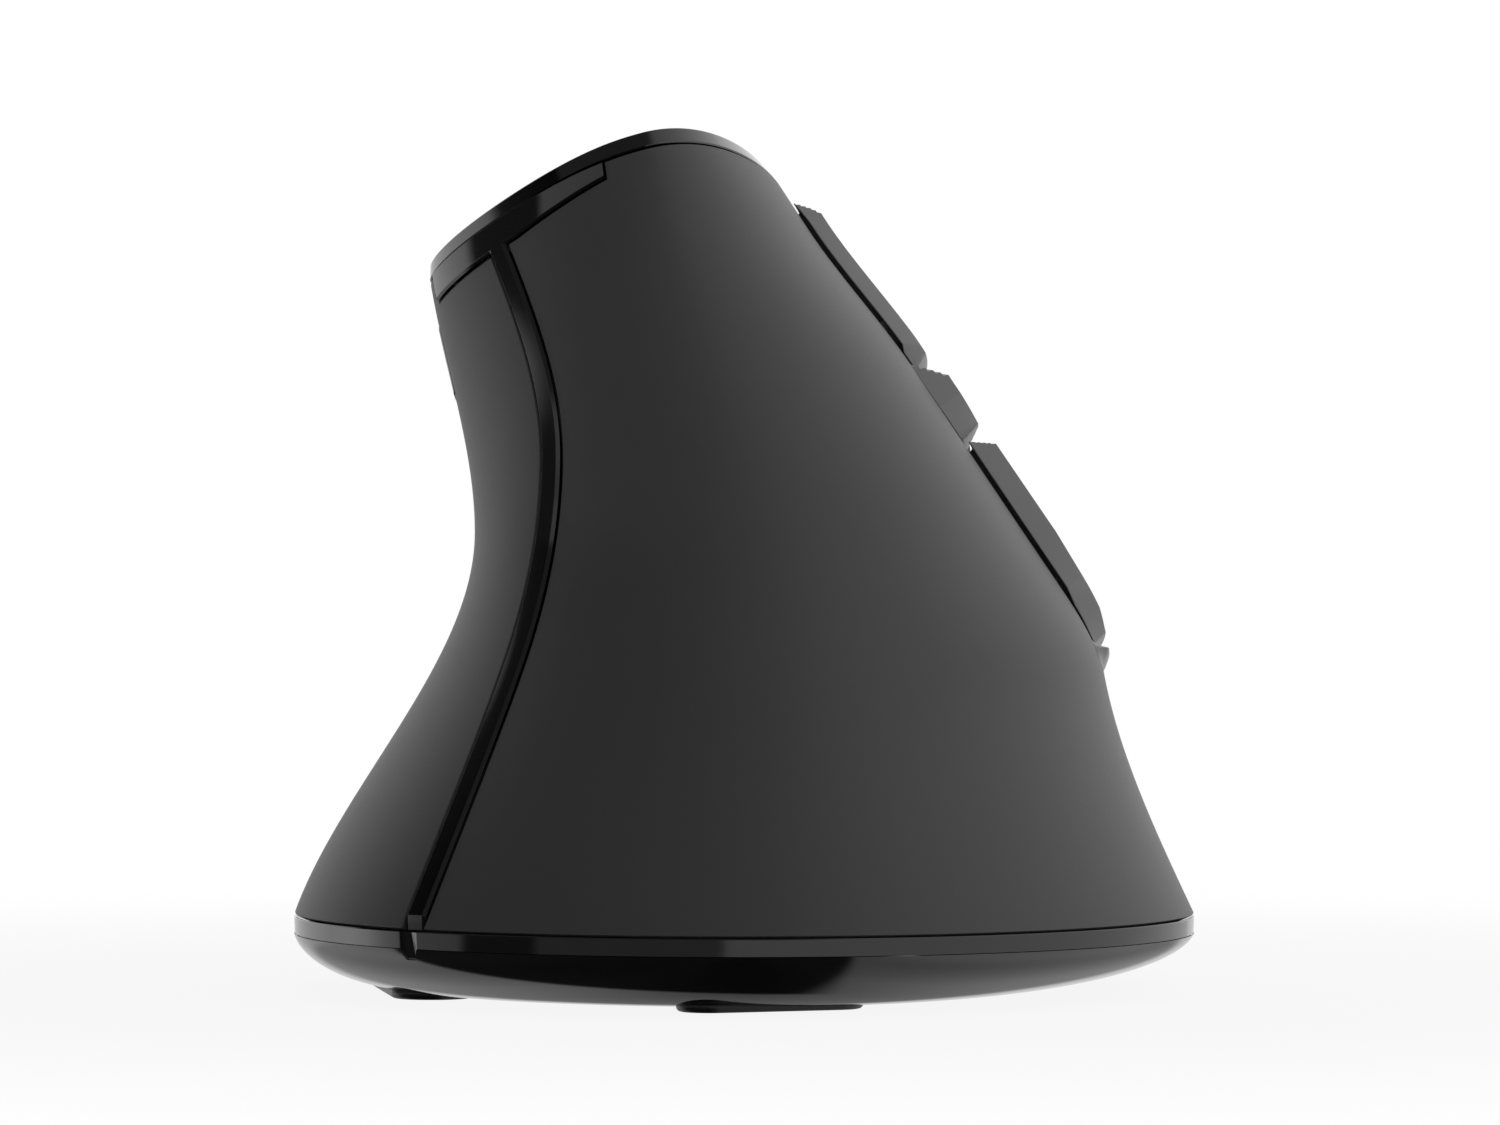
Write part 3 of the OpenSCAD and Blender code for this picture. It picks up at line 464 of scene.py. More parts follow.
def hoop(turns: Array, profile: Callable[[Array, Array], Array], rows: int) -> BMesh:
    """Builds a band that closes on itself round the body.

    Args:
        turns: Turns of its columns, the last one a full turn after the first.
        profile: Points for turns and row shares from 0 to 1.
        rows: Steps along the profile.

    Returns:
        The band's mesh, joined where its ends meet.
    """
    bm = flat_grid(len(turns) - 1, rows)
    a, b = shares(bm)
    lay(bm, profile(np.interp(a, np.linspace(0, 1, len(turns)), turns), b))
    bmesh.ops.remove_doubles(bm, verts=bm.verts, dist=SAME_SPOT)
    return bm


def cap_loops(bm: BMesh) -> None:
    """Closes each open loop with one face and turns all faces outwards."""
    bmesh.ops.holes_fill(bm, edges=[edge for edge in bm.edges if edge.is_boundary], sides=0)
    bmesh.ops.recalc_face_normals(bm, faces=bm.faces)


def post(bm: BMesh, start: Vector, end: Vector, radius: float, segments: int = 24) -> None:
    """Adds a straight round post; four segments make it square.

    Args:
        bm: The mesh that it joins.
        start: Middle of one end, in metres.
        end: Middle of the other end.
        radius: Its radius.
        segments: Sides of its outline.
    """
    run = end - start
    turn = Vector((0, 0, 1)).rotation_difference(run).to_matrix().to_4x4()
    bmesh.ops.create_cone(
        bm,
        cap_ends=True,
        segments=segments,
        radius1=radius * MM,
        radius2=radius * MM,
        depth=run.length,
        matrix=Matrix.Translation((start + end) / 2) @ turn,
    )


def middle(node: str) -> Vector:
    """Finds the middle of a CAD node's box."""
    low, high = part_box(node)
    return (Vector(low) + Vector(high)) / 2


def joint(name: str) -> tuple[Vector, Vector]:
    """Reads a joint's place and its axis."""
    row = next(row for row in frame["joints"] if row["name"] == name)
    return Vector(row["pos_m"]), Vector(row["axis"])


def add_piece(
    name: str,
    bm: BMesh,
    finish: "Finish",
    body: Body,
    stands_for: Iterable[str] = (),
) -> Object:
    """Makes an object of a mesh and puts it on its body.

    Args:
        name: The piece's name.
        bm: The mesh, which is used up.
        finish: Its surface.
        body: The rigid body that it rides on.
        stands_for: CAD nodes that it replaces.

    Returns:
        The new object.
    """
    mesh: Mesh = bpy.data.meshes.new(name)
    for face in bm.faces:
        face.smooth = True
    bm.to_mesh(mesh)
    bm.free()
    piece = bpy.data.objects.new(name, mesh)
    bpy.context.scene.collection.objects.link(piece)
    mesh.materials.append(finish.material())
    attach(piece, body.value)
    for node in stands_for:
        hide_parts(node)
    LOG.info("%s rides on %s: %d faces", name, body.value, len(mesh.polygons))
    return piece


def thicken(piece: Object, thickness: float) -> None:
    """Gives an open shell a wall on its inner side.

    Args:
        piece: The shell.
        thickness: The wall's thickness.
    """
    wall = piece.modifiers.new("wall", "SOLIDIFY")
    wall.thickness = thickness * MM
    wall.offset = -1.0


def soften(piece: Object, radius: float, segments: int = 3, angle: float = 40.0) -> None:
    """Rounds the piece's sharp edges.

    Args:
        piece: The piece.
        radius: Width of the rounding.
        segments: Steps across it; one makes a chamfer.
        angle: Smallest angle, in degrees, that counts as sharp.
    """
    edge = piece.modifiers.new("edge", "BEVEL")
    edge.width = radius * MM
    edge.segments = segments
    edge.limit_method = "ANGLE"
    edge.angle_limit = math.radians(angle)
    edge.harden_normals = True


def sharpen(piece: Object, angle: float) -> None:
    """Keeps edges sharp that turn by more than an angle in degrees."""
    piece.data.set_sharp_from_angle(angle=math.radians(angle))


# Finishes


@dataclass(frozen=True)
class Wiring:
    """Adds nodes to a node tree and wires them up."""

    tree: NodeTree

    def feed(self, node: Node, inputs: dict[str | int, object]) -> None:
        """Feeds a node.

        Args:
            node: The node.
            inputs: Values to set, or sockets to link, by input.
        """
        for slot, value in inputs.items():
            if isinstance(value, NodeSocket):
                self.tree.links.new(value, node.inputs[slot])
            else:
                node.inputs[slot].default_value = value

    def add(self, kind: str, inputs: dict[str | int, object] | None = None, **settings: str) -> Node:
        """Adds a node.

        Args:
            kind: Its type, without the common prefix.
            inputs: What it is fed with.
            settings: Its own settings.

        Returns:
            The new node.
        """
        node = self.tree.nodes.new(f"ShaderNode{kind}")
        for name, value in settings.items():
            setattr(node, name, value)
        self.feed(node, inputs or {})
        return node

    def calc(self, operation: str, *inputs: object) -> NodeSocket:
        """Adds a calculation, and returns its result."""
        return self.add("Math", dict(enumerate(inputs)), operation=operation).outputs["Value"]

    def smooth(self, value: NodeSocket, start: float, end: float, low: float = 0.0) -> NodeSocket:
        """Adds a smooth step from low at start to 1 at end, and returns its result."""
        limits = {"Value": value, "From Min": start, "From Max": end, "To Min": low}
        return self.add("MapRange", limits, interpolation_type="SMOOTHSTEP").outputs["Result"]


class Pattern(Enum):
    """How a finish varies over its surface."""

    GRAIN = "grain"
    POLISH = "polish"
    BRUSH = "brush"


BRUSH_SCALE = (1.0, 0.06, 1.0)
CLOUD_SIZE = 18.0
CLOUD_SPREAD = 0.2


@dataclass(frozen=True)
class Finish:
    """A surface: its shade, how it drifts, its roughness band and its relief.

    grain is the size of its marks and relief their height, in millimetres.
    """

    name: str
    slot: str
    shade: Shade
    drift: float
    roughness: tuple[float, float]
    grain: float
    relief: float
    pattern: Pattern = Pattern.GRAIN
    metallic: float = 0.0
    transmission: float = 0.0
    specular: float = 0.5

    def material(self) -> Material:
        """Makes the finish's node material, once.

        Returns:
            The material.
        """
        known = bpy.data.materials.get(self.name)
        if known:
            return known
        made = bpy.data.materials.new(self.name)
        made.use_nodes = True
        wiring = Wiring(made.node_tree)
        place = wiring.add("TexCoord").outputs["Object"]
        marks = self.marks(wiring, place)
        low, high = self.roughness
        rough = wiring.add("MapRange", {"Value": marks, "To Min": low, "To Max": high})
        bump = wiring.add("Bump", {"Distance": self.relief * MM, "Height": marks})
        shader = {
            "Base Color": self.dye(wiring, place),
            "Metallic": self.metallic,
            "Roughness": rough.outputs["Result"],
            "Specular IOR Level": self.specular,
            "Transmission Weight": self.transmission,
            "Normal": bump.outputs["Normal"],
        }
        wiring.feed(made.node_tree.nodes["Principled BSDF"], shader)
        return made

    def marks(self, wiring: Wiring, place: NodeSocket) -> NodeSocket:
        """Adds the fine marks.

        Args:
            wiring: The material's nodes.
            place: Coordinates on the object.

        Returns:
            The marks' height, from 0 to 1.
        """
        if self.pattern is Pattern.BRUSH:
            place = wiring.add("Mapping", {"Vector": place, "Scale": BRUSH_SCALE}).outputs["Vector"]
        detail = 1.0 if self.pattern is Pattern.POLISH else 3.0
        noise = {"Vector": place, "Scale": 1 / (self.grain * MM), "Detail": detail}
        return wiring.add("TexNoise", noise).outputs["Fac"]

    def dye(self, wiring: Wiring, place: NodeSocket) -> NodeSocket:
        """Adds the slow drift of the shade.

        Args:
            wiring: The material's nodes.
            place: Coordinates on the object.

        Returns:
            The colour.
        """
        cloud = wiring.add("TexNoise", {"Vector": place, "Scale": 1 / (CLOUD_SIZE * MM), "Detail": 4.0})
        ramp = wiring.add("ValToRGB", {"Fac": cloud.outputs["Fac"]})
        for stop, sign in zip(ramp.color_ramp.elements, (-1, 1)):
            stop.position = 0.5 + CLOUD_SPREAD * sign
            stop.color = (*(channel * (1 + sign * self.drift) for channel in self.shade), 1.0)
        return ramp.outputs["Color"]


SOFT_TOUCH = Finish("soft_touch", "soft_matte", (0.076, 0.076, 0.077), 0.04, (0.42, 0.54), 0.16, 0.004)
PIANO_BLACK = Finish(
    "piano_black", "gloss_black", (0.005, 0.005, 0.0052), 0.2, (0.05, 0.09), 6.0, 0.0004,
    Pattern.POLISH, specular=1.0,
)
SATIN_GREY = Finish("satin_plastic", "satin_grey", (0.155, 0.155, 0.156), 0.04, (0.30, 0.40), 0.12, 0.003)
WHEEL_RUBBER = Finish("ribbed_rubber", "wheel_rubber", (0.018, 0.018, 0.019), 0.12, (0.55, 0.72), 0.2, 0.01)
FOOT_PAD = Finish("glide_pad", "foot_pad", (0.02, 0.02, 0.0205), 0.1, (0.28, 0.4), 0.3, 0.004)
FINISHES = (
    SOFT_TOUCH, PIANO_BLACK, SATIN_GREY, WHEEL_RUBBER, FOOT_PAD,
    Finish("bright_steel", "metal", (0.6, 0.6, 0.62), 0.06, (0.22, 0.36), 0.2, 0.002, Pattern.BRUSH, 1.0),
    Finish("board_lacquer", "board", (0.02, 0.11, 0.05), 0.15, (0.25, 0.4), 0.5, 0.006),
    Finish("moulded_black", "inner_black", (0.02, 0.02, 0.022), 0.1, (0.42, 0.58), 0.2, 0.006),
    Finish("plunger_red", "plunger", (0.35, 0.05, 0.03), 0.08, (0.35, 0.5), 0.2, 0.004),
    Finish("encoder_blue", "encoder", (0.05, 0.09, 0.2), 0.08, (0.35, 0.5), 0.2, 0.004),
    Finish("cell_sleeve", "cell", (0.28, 0.3, 0.32), 0.08, (0.2, 0.32), 0.4, 0.003),
    Finish(
        "clear_lens", "lens", (0.8, 0.85, 0.88), 0.02, (0.03, 0.06), 4.0, 0.0005,
        Pattern.POLISH, transmission=0.9,
    ),
)


def flush(u: Array, a: Array, b: Array) -> Array:
    """Rise of a piece that lies in the skin."""
    return np.zeros_like(u)


# Sub-assemblies


@dataclass(frozen=True)
class Covers:
    """The two matte covers, which stand on the skirt and reach up to the cap."""

    wall: float = 2.0
    edge: float = 0.16

    def build(self) -> None:
        """Builds both covers."""
        low, top = CUT.flat(SKIN.seam + CUT.seam / 2), CUT.level(CUT.cap_seam - CUT.seam / 2)
        thumb = Lattice(
            (
                *CUT.turns(CUT.nose_left + CUT.turn_seam, CUT.thumb_front, CUT.thumb_rear, CUT.arm_left),
                CUT.spine(-CUT.spine_half - CUT.seam),
            ),
            (34, 42, 8, 34),
            (low, *CUT.levels(CUT.thumb_low, CUT.thumb_top), CUT.arm_low(CUT.seam), top),
            (72, 10, 6, 5),
            frozenset({(1, 1), (3, 3)}),
        )
        palm = Lattice(
            (
                CUT.spine(CUT.spine_half + CUT.seam),
                *CUT.turns(CUT.arm_right + CUT.turn_seam, CUT.window_rear, CUT.window_front + CUT.turn_seam),
            ),
            (32, 90, 80),
            (low, CUT.level(CUT.window_low), CUT.brow(), CUT.arm_low(CUT.seam), top),
            (44, 70, 6, 5),
            frozenset({(2, 1), (0, 3)}),
        )
        for name, lattice in (("thumb_shell", thumb), ("palm_shell", palm)):
            node = name.replace("shell", "cover")
            shell = add_piece(name, lattice.mesh(flush), SOFT_TOUCH, Body.SHELL, (node,))
            thicken(shell, self.wall)
            soften(shell, self.edge)


@dataclass(frozen=True)
class Trim:
    """Glossy spine with its arms, the nose strip and the flat cap."""

    wall: float = 2.0
    edge: float = 0.04
    chamfer: float = 0.2
    proud: float = 0.26
    foot_height: float = 1.1
    foot_lean: float = 0.35
    strip_sharp: float = 15.0
    cap_edge: float = 0.14
    cap_edge_points: int = 7
    cap_lean: float = 0.2
    cap_lip: float = 0.12
    cap_columns: int = 288
    cap_border: float = 0.4
    cap_sharp: float = 20.0

    def build(self) -> None:
        """Builds the three pieces."""
        low, top = CUT.flat(SKIN.seam + CUT.seam / 2), CUT.level(CUT.cap_seam - CUT.seam / 2)
        spine = Lattice(
            (
                CUT.turn(CUT.arm_left + CUT.turn_seam),
                CUT.spine(-CUT.spine_half),
                CUT.spine(-CUT.spine_half + self.chamfer),
                CUT.spine(CUT.spine_half - self.chamfer),
                CUT.spine(CUT.spine_half),
                CUT.turn(CUT.arm_right),
            ),
            (34, 2, 5, 2, 32),
            (low, CUT.flat(SKIN.seam + self.foot_height), CUT.arm_low(0.0), CUT.arm_low(-self.chamfer), top),
            (3, 108, 2, 5),
            frozenset({(0, 0), (0, 1), (4, 0), (4, 1)}),
        )
        nose = Lattice(
            CUT.turns(CUT.window_front + 3 * CUT.turn_seam - FULL_TURN, CUT.nose_left - CUT.turn_seam),
            (22,),
            (low, top),
            (90,),
        )
        rows = (("spine", "spine_trim", spine, self.spine_rise), ("nose_strip", "nose_trim", nose, flush))
        for name, node, lattice, rise in rows:
            strip = add_piece(name, lattice.mesh(rise), PIANO_BLACK, Body.SHELL, (node,))
            thicken(strip, self.wall)
            soften(strip, self.edge, segments=1, angle=self.strip_sharp)
        self.build_cap()

    def spine_rise(self, u: Array, a: Array, b: Array) -> Array:
        """Gives the spine's rise, which leans in at its foot and falls off along its edges.

        Args:
            u: Turns round the body; not used.
            a: Column shares.
            b: Row shares.

        Returns:
            Heights over the skin.
        """
        foot = unit(1 - b)
        inner = unit(np.maximum(np.minimum(a - 1, 4 - a), b - 2))
        return self.proud - (self.proud + self.foot_lean) * foot - self.chamfer * (1 - inner)

    def build_cap(self) -> None:
        """Builds the cap: an upright band, a rounded rim and a flat top."""
        low, top = CUT.cap_seam + CUT.seam / 2, CUT.cap_top
        rim = np.linspace(0, math.pi / 2, self.cap_edge_points)
        levels = np.concatenate([[low, low + self.cap_lip], top - self.cap_edge * (1 - np.sin(rim))])
        insets = np.concatenate([[self.cap_lip, 0.0], self.cap_lean + self.cap_edge * (1 - np.cos(rim))])
        rows = len(levels) - 1

        def ring(u: Array, row: Array) -> Array:
            """Finds points of the cap's outline, row by row from its seam to its top."""
            level, inset = (np.interp(row * rows, np.arange(rows + 1), v) for v in (levels, insets))
            here, there = (SKIN.point(w, SKIN.height_at(w, level)) for w in (u, u + FULL_TURN / 2))
            across = there - here
            return here + across * (inset / np.linalg.norm(across, axis=-1))[:, None]

        bm = hoop(np.linspace(0, FULL_TURN, self.cap_columns + 1), ring, rows)
        cap_loops(bm)
        lids = [face for face in bm.faces if len(face.verts) > 4]
        bmesh.ops.inset_individual(bm, faces=lids, thickness=self.cap_border * MM)
        cap = add_piece("cap", bm, PIANO_BLACK, Body.SHELL, ("top_cap",))
        sharpen(cap, self.cap_sharp)


@dataclass(frozen=True)
class Skirt:
    """Glossy band round the base, its key tab, the bowl under it and the feet."""

    band_low: float = 5.0
    belly: float = 0.5
    inset_right: float = 18.0
    inset_left: float = 10.0
    inset_ends: float = 14.0
    crease: float = 0.1
    proud: float = 0.02
    belly_proud: float = 0.18
    fullness: float = 0.35
    wall: float = 1.8
    drop: float = 0.84
    band_lean: float = 0.05
    tab_turn: float = 0.494
    tab_half: float = 0.0177
    tab_height: float = 0.9
    tab_near: tuple[float, float] = (1.2, 1.25)
    tab_columns: int = 36
    columns_round: int = 360
    rim: float = 0.12
    rim_top: float = 0.03
    rim_foot: float = 0.02
    band_sharp: float = 12.0
    bowl_steps: int = 36
    bowl_end: float = 0.995
    bowl_skew: float = 1.3
    sharp: float = 30.0
    foot_thickness: float = 1.0
    foot_edge: float = 0.42
    feet: tuple[tuple[str, tuple[float, float], tuple[float, float], float], ...] = (
        ("rear_pad", (-2.8, -37.6), (7.1, -33.6), 2.8),
        ("left_pad", (-26.4, -19.5), (-30.0, 4.0), 3.6),
        ("front_pad", (20.0, 29.0), (25.5, 21.5), 2.8),
    )

    def inward(self, u: Array) -> Array:
        """Finds the direction from the rim to the inside, in plan.

        Args:
            u: Turns round the body.

        Returns:
            Unit directions, one row each.
        """
        seam = np.full_like(u, SKIN.seam)
        run = (SKIN.point(u + 0.02, seam) - SKIN.point(u - 0.02, seam))[:, :2]
        run /= np.linalg.norm(run, axis=-1, keepdims=True)
        return np.stack([-run[:, 1], run[:, 0]], axis=-1)

    def at_rim(self, u: Array, inset: Array | float, z: Array | float) -> Array:
        """Finds points inside the rim by an inset, at given heights."""
        plan = SKIN.point(u, np.full_like(u, SKIN.seam))[:, :2] + np.reshape(inset, (-1, 1)) * self.inward(u)
        return np.column_stack([plan, np.broadcast_to(z, u.shape)])

    def bowl(self, u: Array, w: Array, proud: Array | float = 0.0) -> Array:
        """Finds points of the bowl.

        Args:
            u: Turns round the body.
            w: Way down, from 0 under the band to 1 at the flat underside.
            proud: Height over the bowl.

        Returns:
            Points, one row each.
        """
        facing = self.inward(u)[:, 0]
        side = np.where(facing < 0, self.inset_right, self.inset_left)
        inset = self.inset_ends + (side - self.inset_ends) * facing**2
        turn = w * math.pi / 2
        share = (1 - self.crease) * (1 - np.cos(turn)) + self.crease * np.sin(turn)
        z = self.band_low - (self.band_low - self.belly) * np.sin(turn)
        return self.at_rim(u, inset * share - proud * np.cos(turn), z - proud * np.sin(turn))

    def columns(self) -> Array:
        """Gives the skirt's columns.

        Returns:
            Turns round the body, close together at the key tab.
        """
        inside, outside = self.tab_near
        near = self.tab_turn + self.tab_half * np.linspace(-inside, inside, self.tab_columns + 1)
        rest = np.linspace(0, FULL_TURN, self.columns_round + 1)
        far = np.abs(rest - self.tab_turn) > outside * self.tab_half
        return np.unique(np.concatenate([rest[far], near]))

    def tab_drop(self, u: Array) -> Array:
        """Gives how far w the band's lower edge reaches into the bowl."""
        deep = 2 / math.pi * math.asin(self.tab_height / (self.band_low - self.belly))
        return deep * unit(2 * (1 - np.abs(u - self.tab_turn) / self.tab_half))

    def build(self) -> None:
        """Builds the band, the bowl's skin and the feet."""
        top = SKIN.seam - CUT.seam / 2
        up = np.array([0.0, 0.0, 1.0])
        rim, near = self.rim, self.rim_top
        upper = ((0.0, top - rim), (near, top - near), (rim, top - near), (self.wall, top - self.drop))

        def band(u: Array, row: Array) -> Array:
            """Finds points of the band, once round its section."""
            side = np.column_stack([self.inward(u), np.zeros_like(u)])
            low = self.bowl(u, self.tab_drop(u)) + self.band_lean * side
            rows = [self.at_rim(u, self.wall, self.band_low), low + rim * side]
            rows += [low + self.rim_foot * up, low + rim * up]
            rows += [self.at_rim(u, inset, z) for inset, z in upper]
            k = np.rint(row * len(rows)).astype(int) % len(rows)
            return np.stack(rows)[k, np.arange(len(u))]

        bm = hoop(self.columns(), band, 8)
        ring = add_piece("skirt_band", bm, PIANO_BLACK, Body.SHELL, ("skirt_ring",))
        sharpen(ring, self.band_sharp)
        marks = np.cumsum((0, self.bowl_steps, 1, self.bowl_steps, 1))

        def bowl(u: Array, row: Array) -> Array:
            """Finds points of the bowl's skin: its outside, its lower rim, its inside and its upper rim."""
            k = row * marks[-1]
            w = 1 - np.interp(k, marks, (0, 1, 1, 0, 0)) * (self.bowl_end - self.tab_drop(u))
            full = self.fullness * (1 - self.inward(u)[:, 0] ** 2) * np.sin(math.pi * w**self.bowl_skew)
            proud = self.proud + self.belly_proud * w**2 + full
            return self.bowl(u, w, proud * np.interp(k, marks, (1, 1, 0, 0, 1)))

        skin = add_piece("bowl_skin", hoop(self.columns(), bowl, int(marks[-1])), PIANO_BLACK, Body.SHELL)
        sharpen(skin, self.sharp)
        for name, start, end, radius in self.feet:
            self.build_foot(name, Vector((*start, 0.0)), Vector((*end, 0.0)), radius)

    def build_foot(self, name: str, start: Vector, end: Vector, radius: float) -> None:
        """Builds one glide pad: a stretched disc with a chamfered sole.

        Args:
            name: The piece's name.
            start: Centre of one round end.
            end: Centre of the other.
            radius: Radius of the ends.
        """
        run = end - start
        bm = bmesh.new()
        bmesh.ops.create_circle(bm, cap_ends=True, segments=64, radius=radius * MM)
        for vert in bm.verts:
            vert.co.x += math.copysign(run.length / 2 * MM, vert.co.x)
        grown = bmesh.ops.extrude_face_region(bm, geom=list(bm.faces))
        top = [item for item in grown["geom"] if isinstance(item, bmesh.types.BMVert)]
        bmesh.ops.translate(bm, verts=top, vec=(0, 0, self.foot_thickness * MM))
        bmesh.ops.recalc_face_normals(bm, faces=bm.faces)
        rims = [edge for edge in bm.edges if abs(edge.verts[0].co.z - edge.verts[1].co.z) < SAME_SPOT]
        offset = self.foot_edge * MM
        bmesh.ops.bevel(bm, geom=rims, offset=offset, affect="EDGES", segments=3, profile=0.5, material=-1)
        turn = Matrix.Rotation(math.atan2(run.y, run.x), 4, "Z")
        place = Matrix.Translation((start + end) / 2 * MM)
        bmesh.ops.transform(bm, matrix=place @ turn, verts=bm.verts)
        pad = add_piece(name, bm, FOOT_PAD, Body.SHELL, (name.replace("pad", "foot"),))
        sharpen(pad, self.sharp)


@dataclass(frozen=True)
class KeyForm:
    """Raised key with a sloping border and cut rear corners.

    Its ends along the body and the slopes there are turns, all else is in millimetres. A cut is a
    height along the key and a depth in turns. rim and crest give the rise of its edge and of its
    top by level, overhang is the share of the border that stands clear underneath, head_taper
    lowers the head by a height over a run of turns, and stem gives the ends of its stem over the
    middle of its plunger.
    """

    low: float
    top: float
    slopes: tuple[float, float, float, float]
    foot_cut: tuple[float, float]
    head_cut: tuple[float, float]
    rim: Knots
    crest: Knots
    stem: tuple[float, float]
    rear: float = CUT.window_rear + 2 * CUT.turn_run
    front: float = CUT.window_front - CUT.turn_run
    front_rise: float = 1.75
    dome: float = 0.0
    sole: float = -0.1
    overhang: float = 0.5
    lip: float = 0.1
    head_taper: tuple[float, float] = (0.0, 1.0)

    def levels(self) -> Array:
        """Gives the levels of the key's rows.

        Returns:
            Levels from the foot to the head.
        """
        foot, head = self.slopes[2:]
        low, top = self.low, self.top
        return np.array([low, low + foot, low + self.foot_cut[0], top - self.head_cut[0], top - head, top])

    def rear_line(self, shift: float) -> Line:
        """Gives the key's rear edge.

        Args:
            shift: How far it is moved forward, in turns.

        Returns:
            The line.
        """

        def line(z: Array) -> Array:
            """Finds the edge's turns."""
            level = SKIN.level_at(np.full_like(z, self.rear), z)
            foot = unit(1 - (level - self.low) / self.foot_cut[0])
            head = unit(1 - (self.top - level) / self.head_cut[0])
            return self.rear + shift + self.foot_cut[1] * foot + self.head_cut[1] * head

        return line

    def row_line(self, row: int, level: float) -> Line:
        """Gives one row's line, lowered towards the front if it belongs to the head."""
        drop, run = self.head_taper if row > 2 else (0.0, 1.0)
        return lambda u: SKIN.height_at(u, level - drop * unit((u - self.rear) / run))

    def border(self, a: Array, b: Array) -> Array:
        """Gives how far up the border's slope a place is, from 0 at the rim to 1."""
        return unit(np.minimum(np.minimum(a, 3 - a), np.minimum(b, 5 - b)))

    def by_level(self, knots: Knots, b: Array) -> Array:
        """Reads a value given by level at row shares."""
        return np.interp(np.interp(b, np.arange(6), self.levels()), *zip(*knots))

    def top_rise(self, u: Array, a: Array, b: Array) -> Array:
        """Gives the rise of the upper face.

        Args:
            u: Turns round the body.
            a: Column shares.
            b: Row shares.

        Returns:
            Heights over the skin.
        """
        rim, crest = self.by_level(self.rim, b) + self.lip, self.by_level(self.crest, b)
        way = unit((u - self.rear) / (self.front - self.rear))
        crest = crest + (self.front_rise - crest) * way + 4 * self.dome * way * (1 - way)
        return rim + (crest - rim) * self.border(a, b)

    def sole_rise(self, u: Array, a: Array, b: Array) -> Array:
        """Gives the rise of the lower face."""
        return np.where(self.border(a, b) < self.overhang, self.by_level(self.rim, b), self.sole)

    def mesh(self) -> BMesh:
        """Builds the key as a solid.

        Returns:
            The key's mesh.
        """
        rear, front = self.slopes[:2]
        lattice = Lattice(
            (self.rear_line(0.0), self.rear_line(rear), *CUT.turns(self.front - front, self.front)),
            (5, 56, 5),
            tuple(self.row_line(row, level) for row, level in enumerate(self.levels())),
            (5, 8, 30, 4, 5),
        )
        return lattice.mesh(self.top_rise, self.sole_rise)


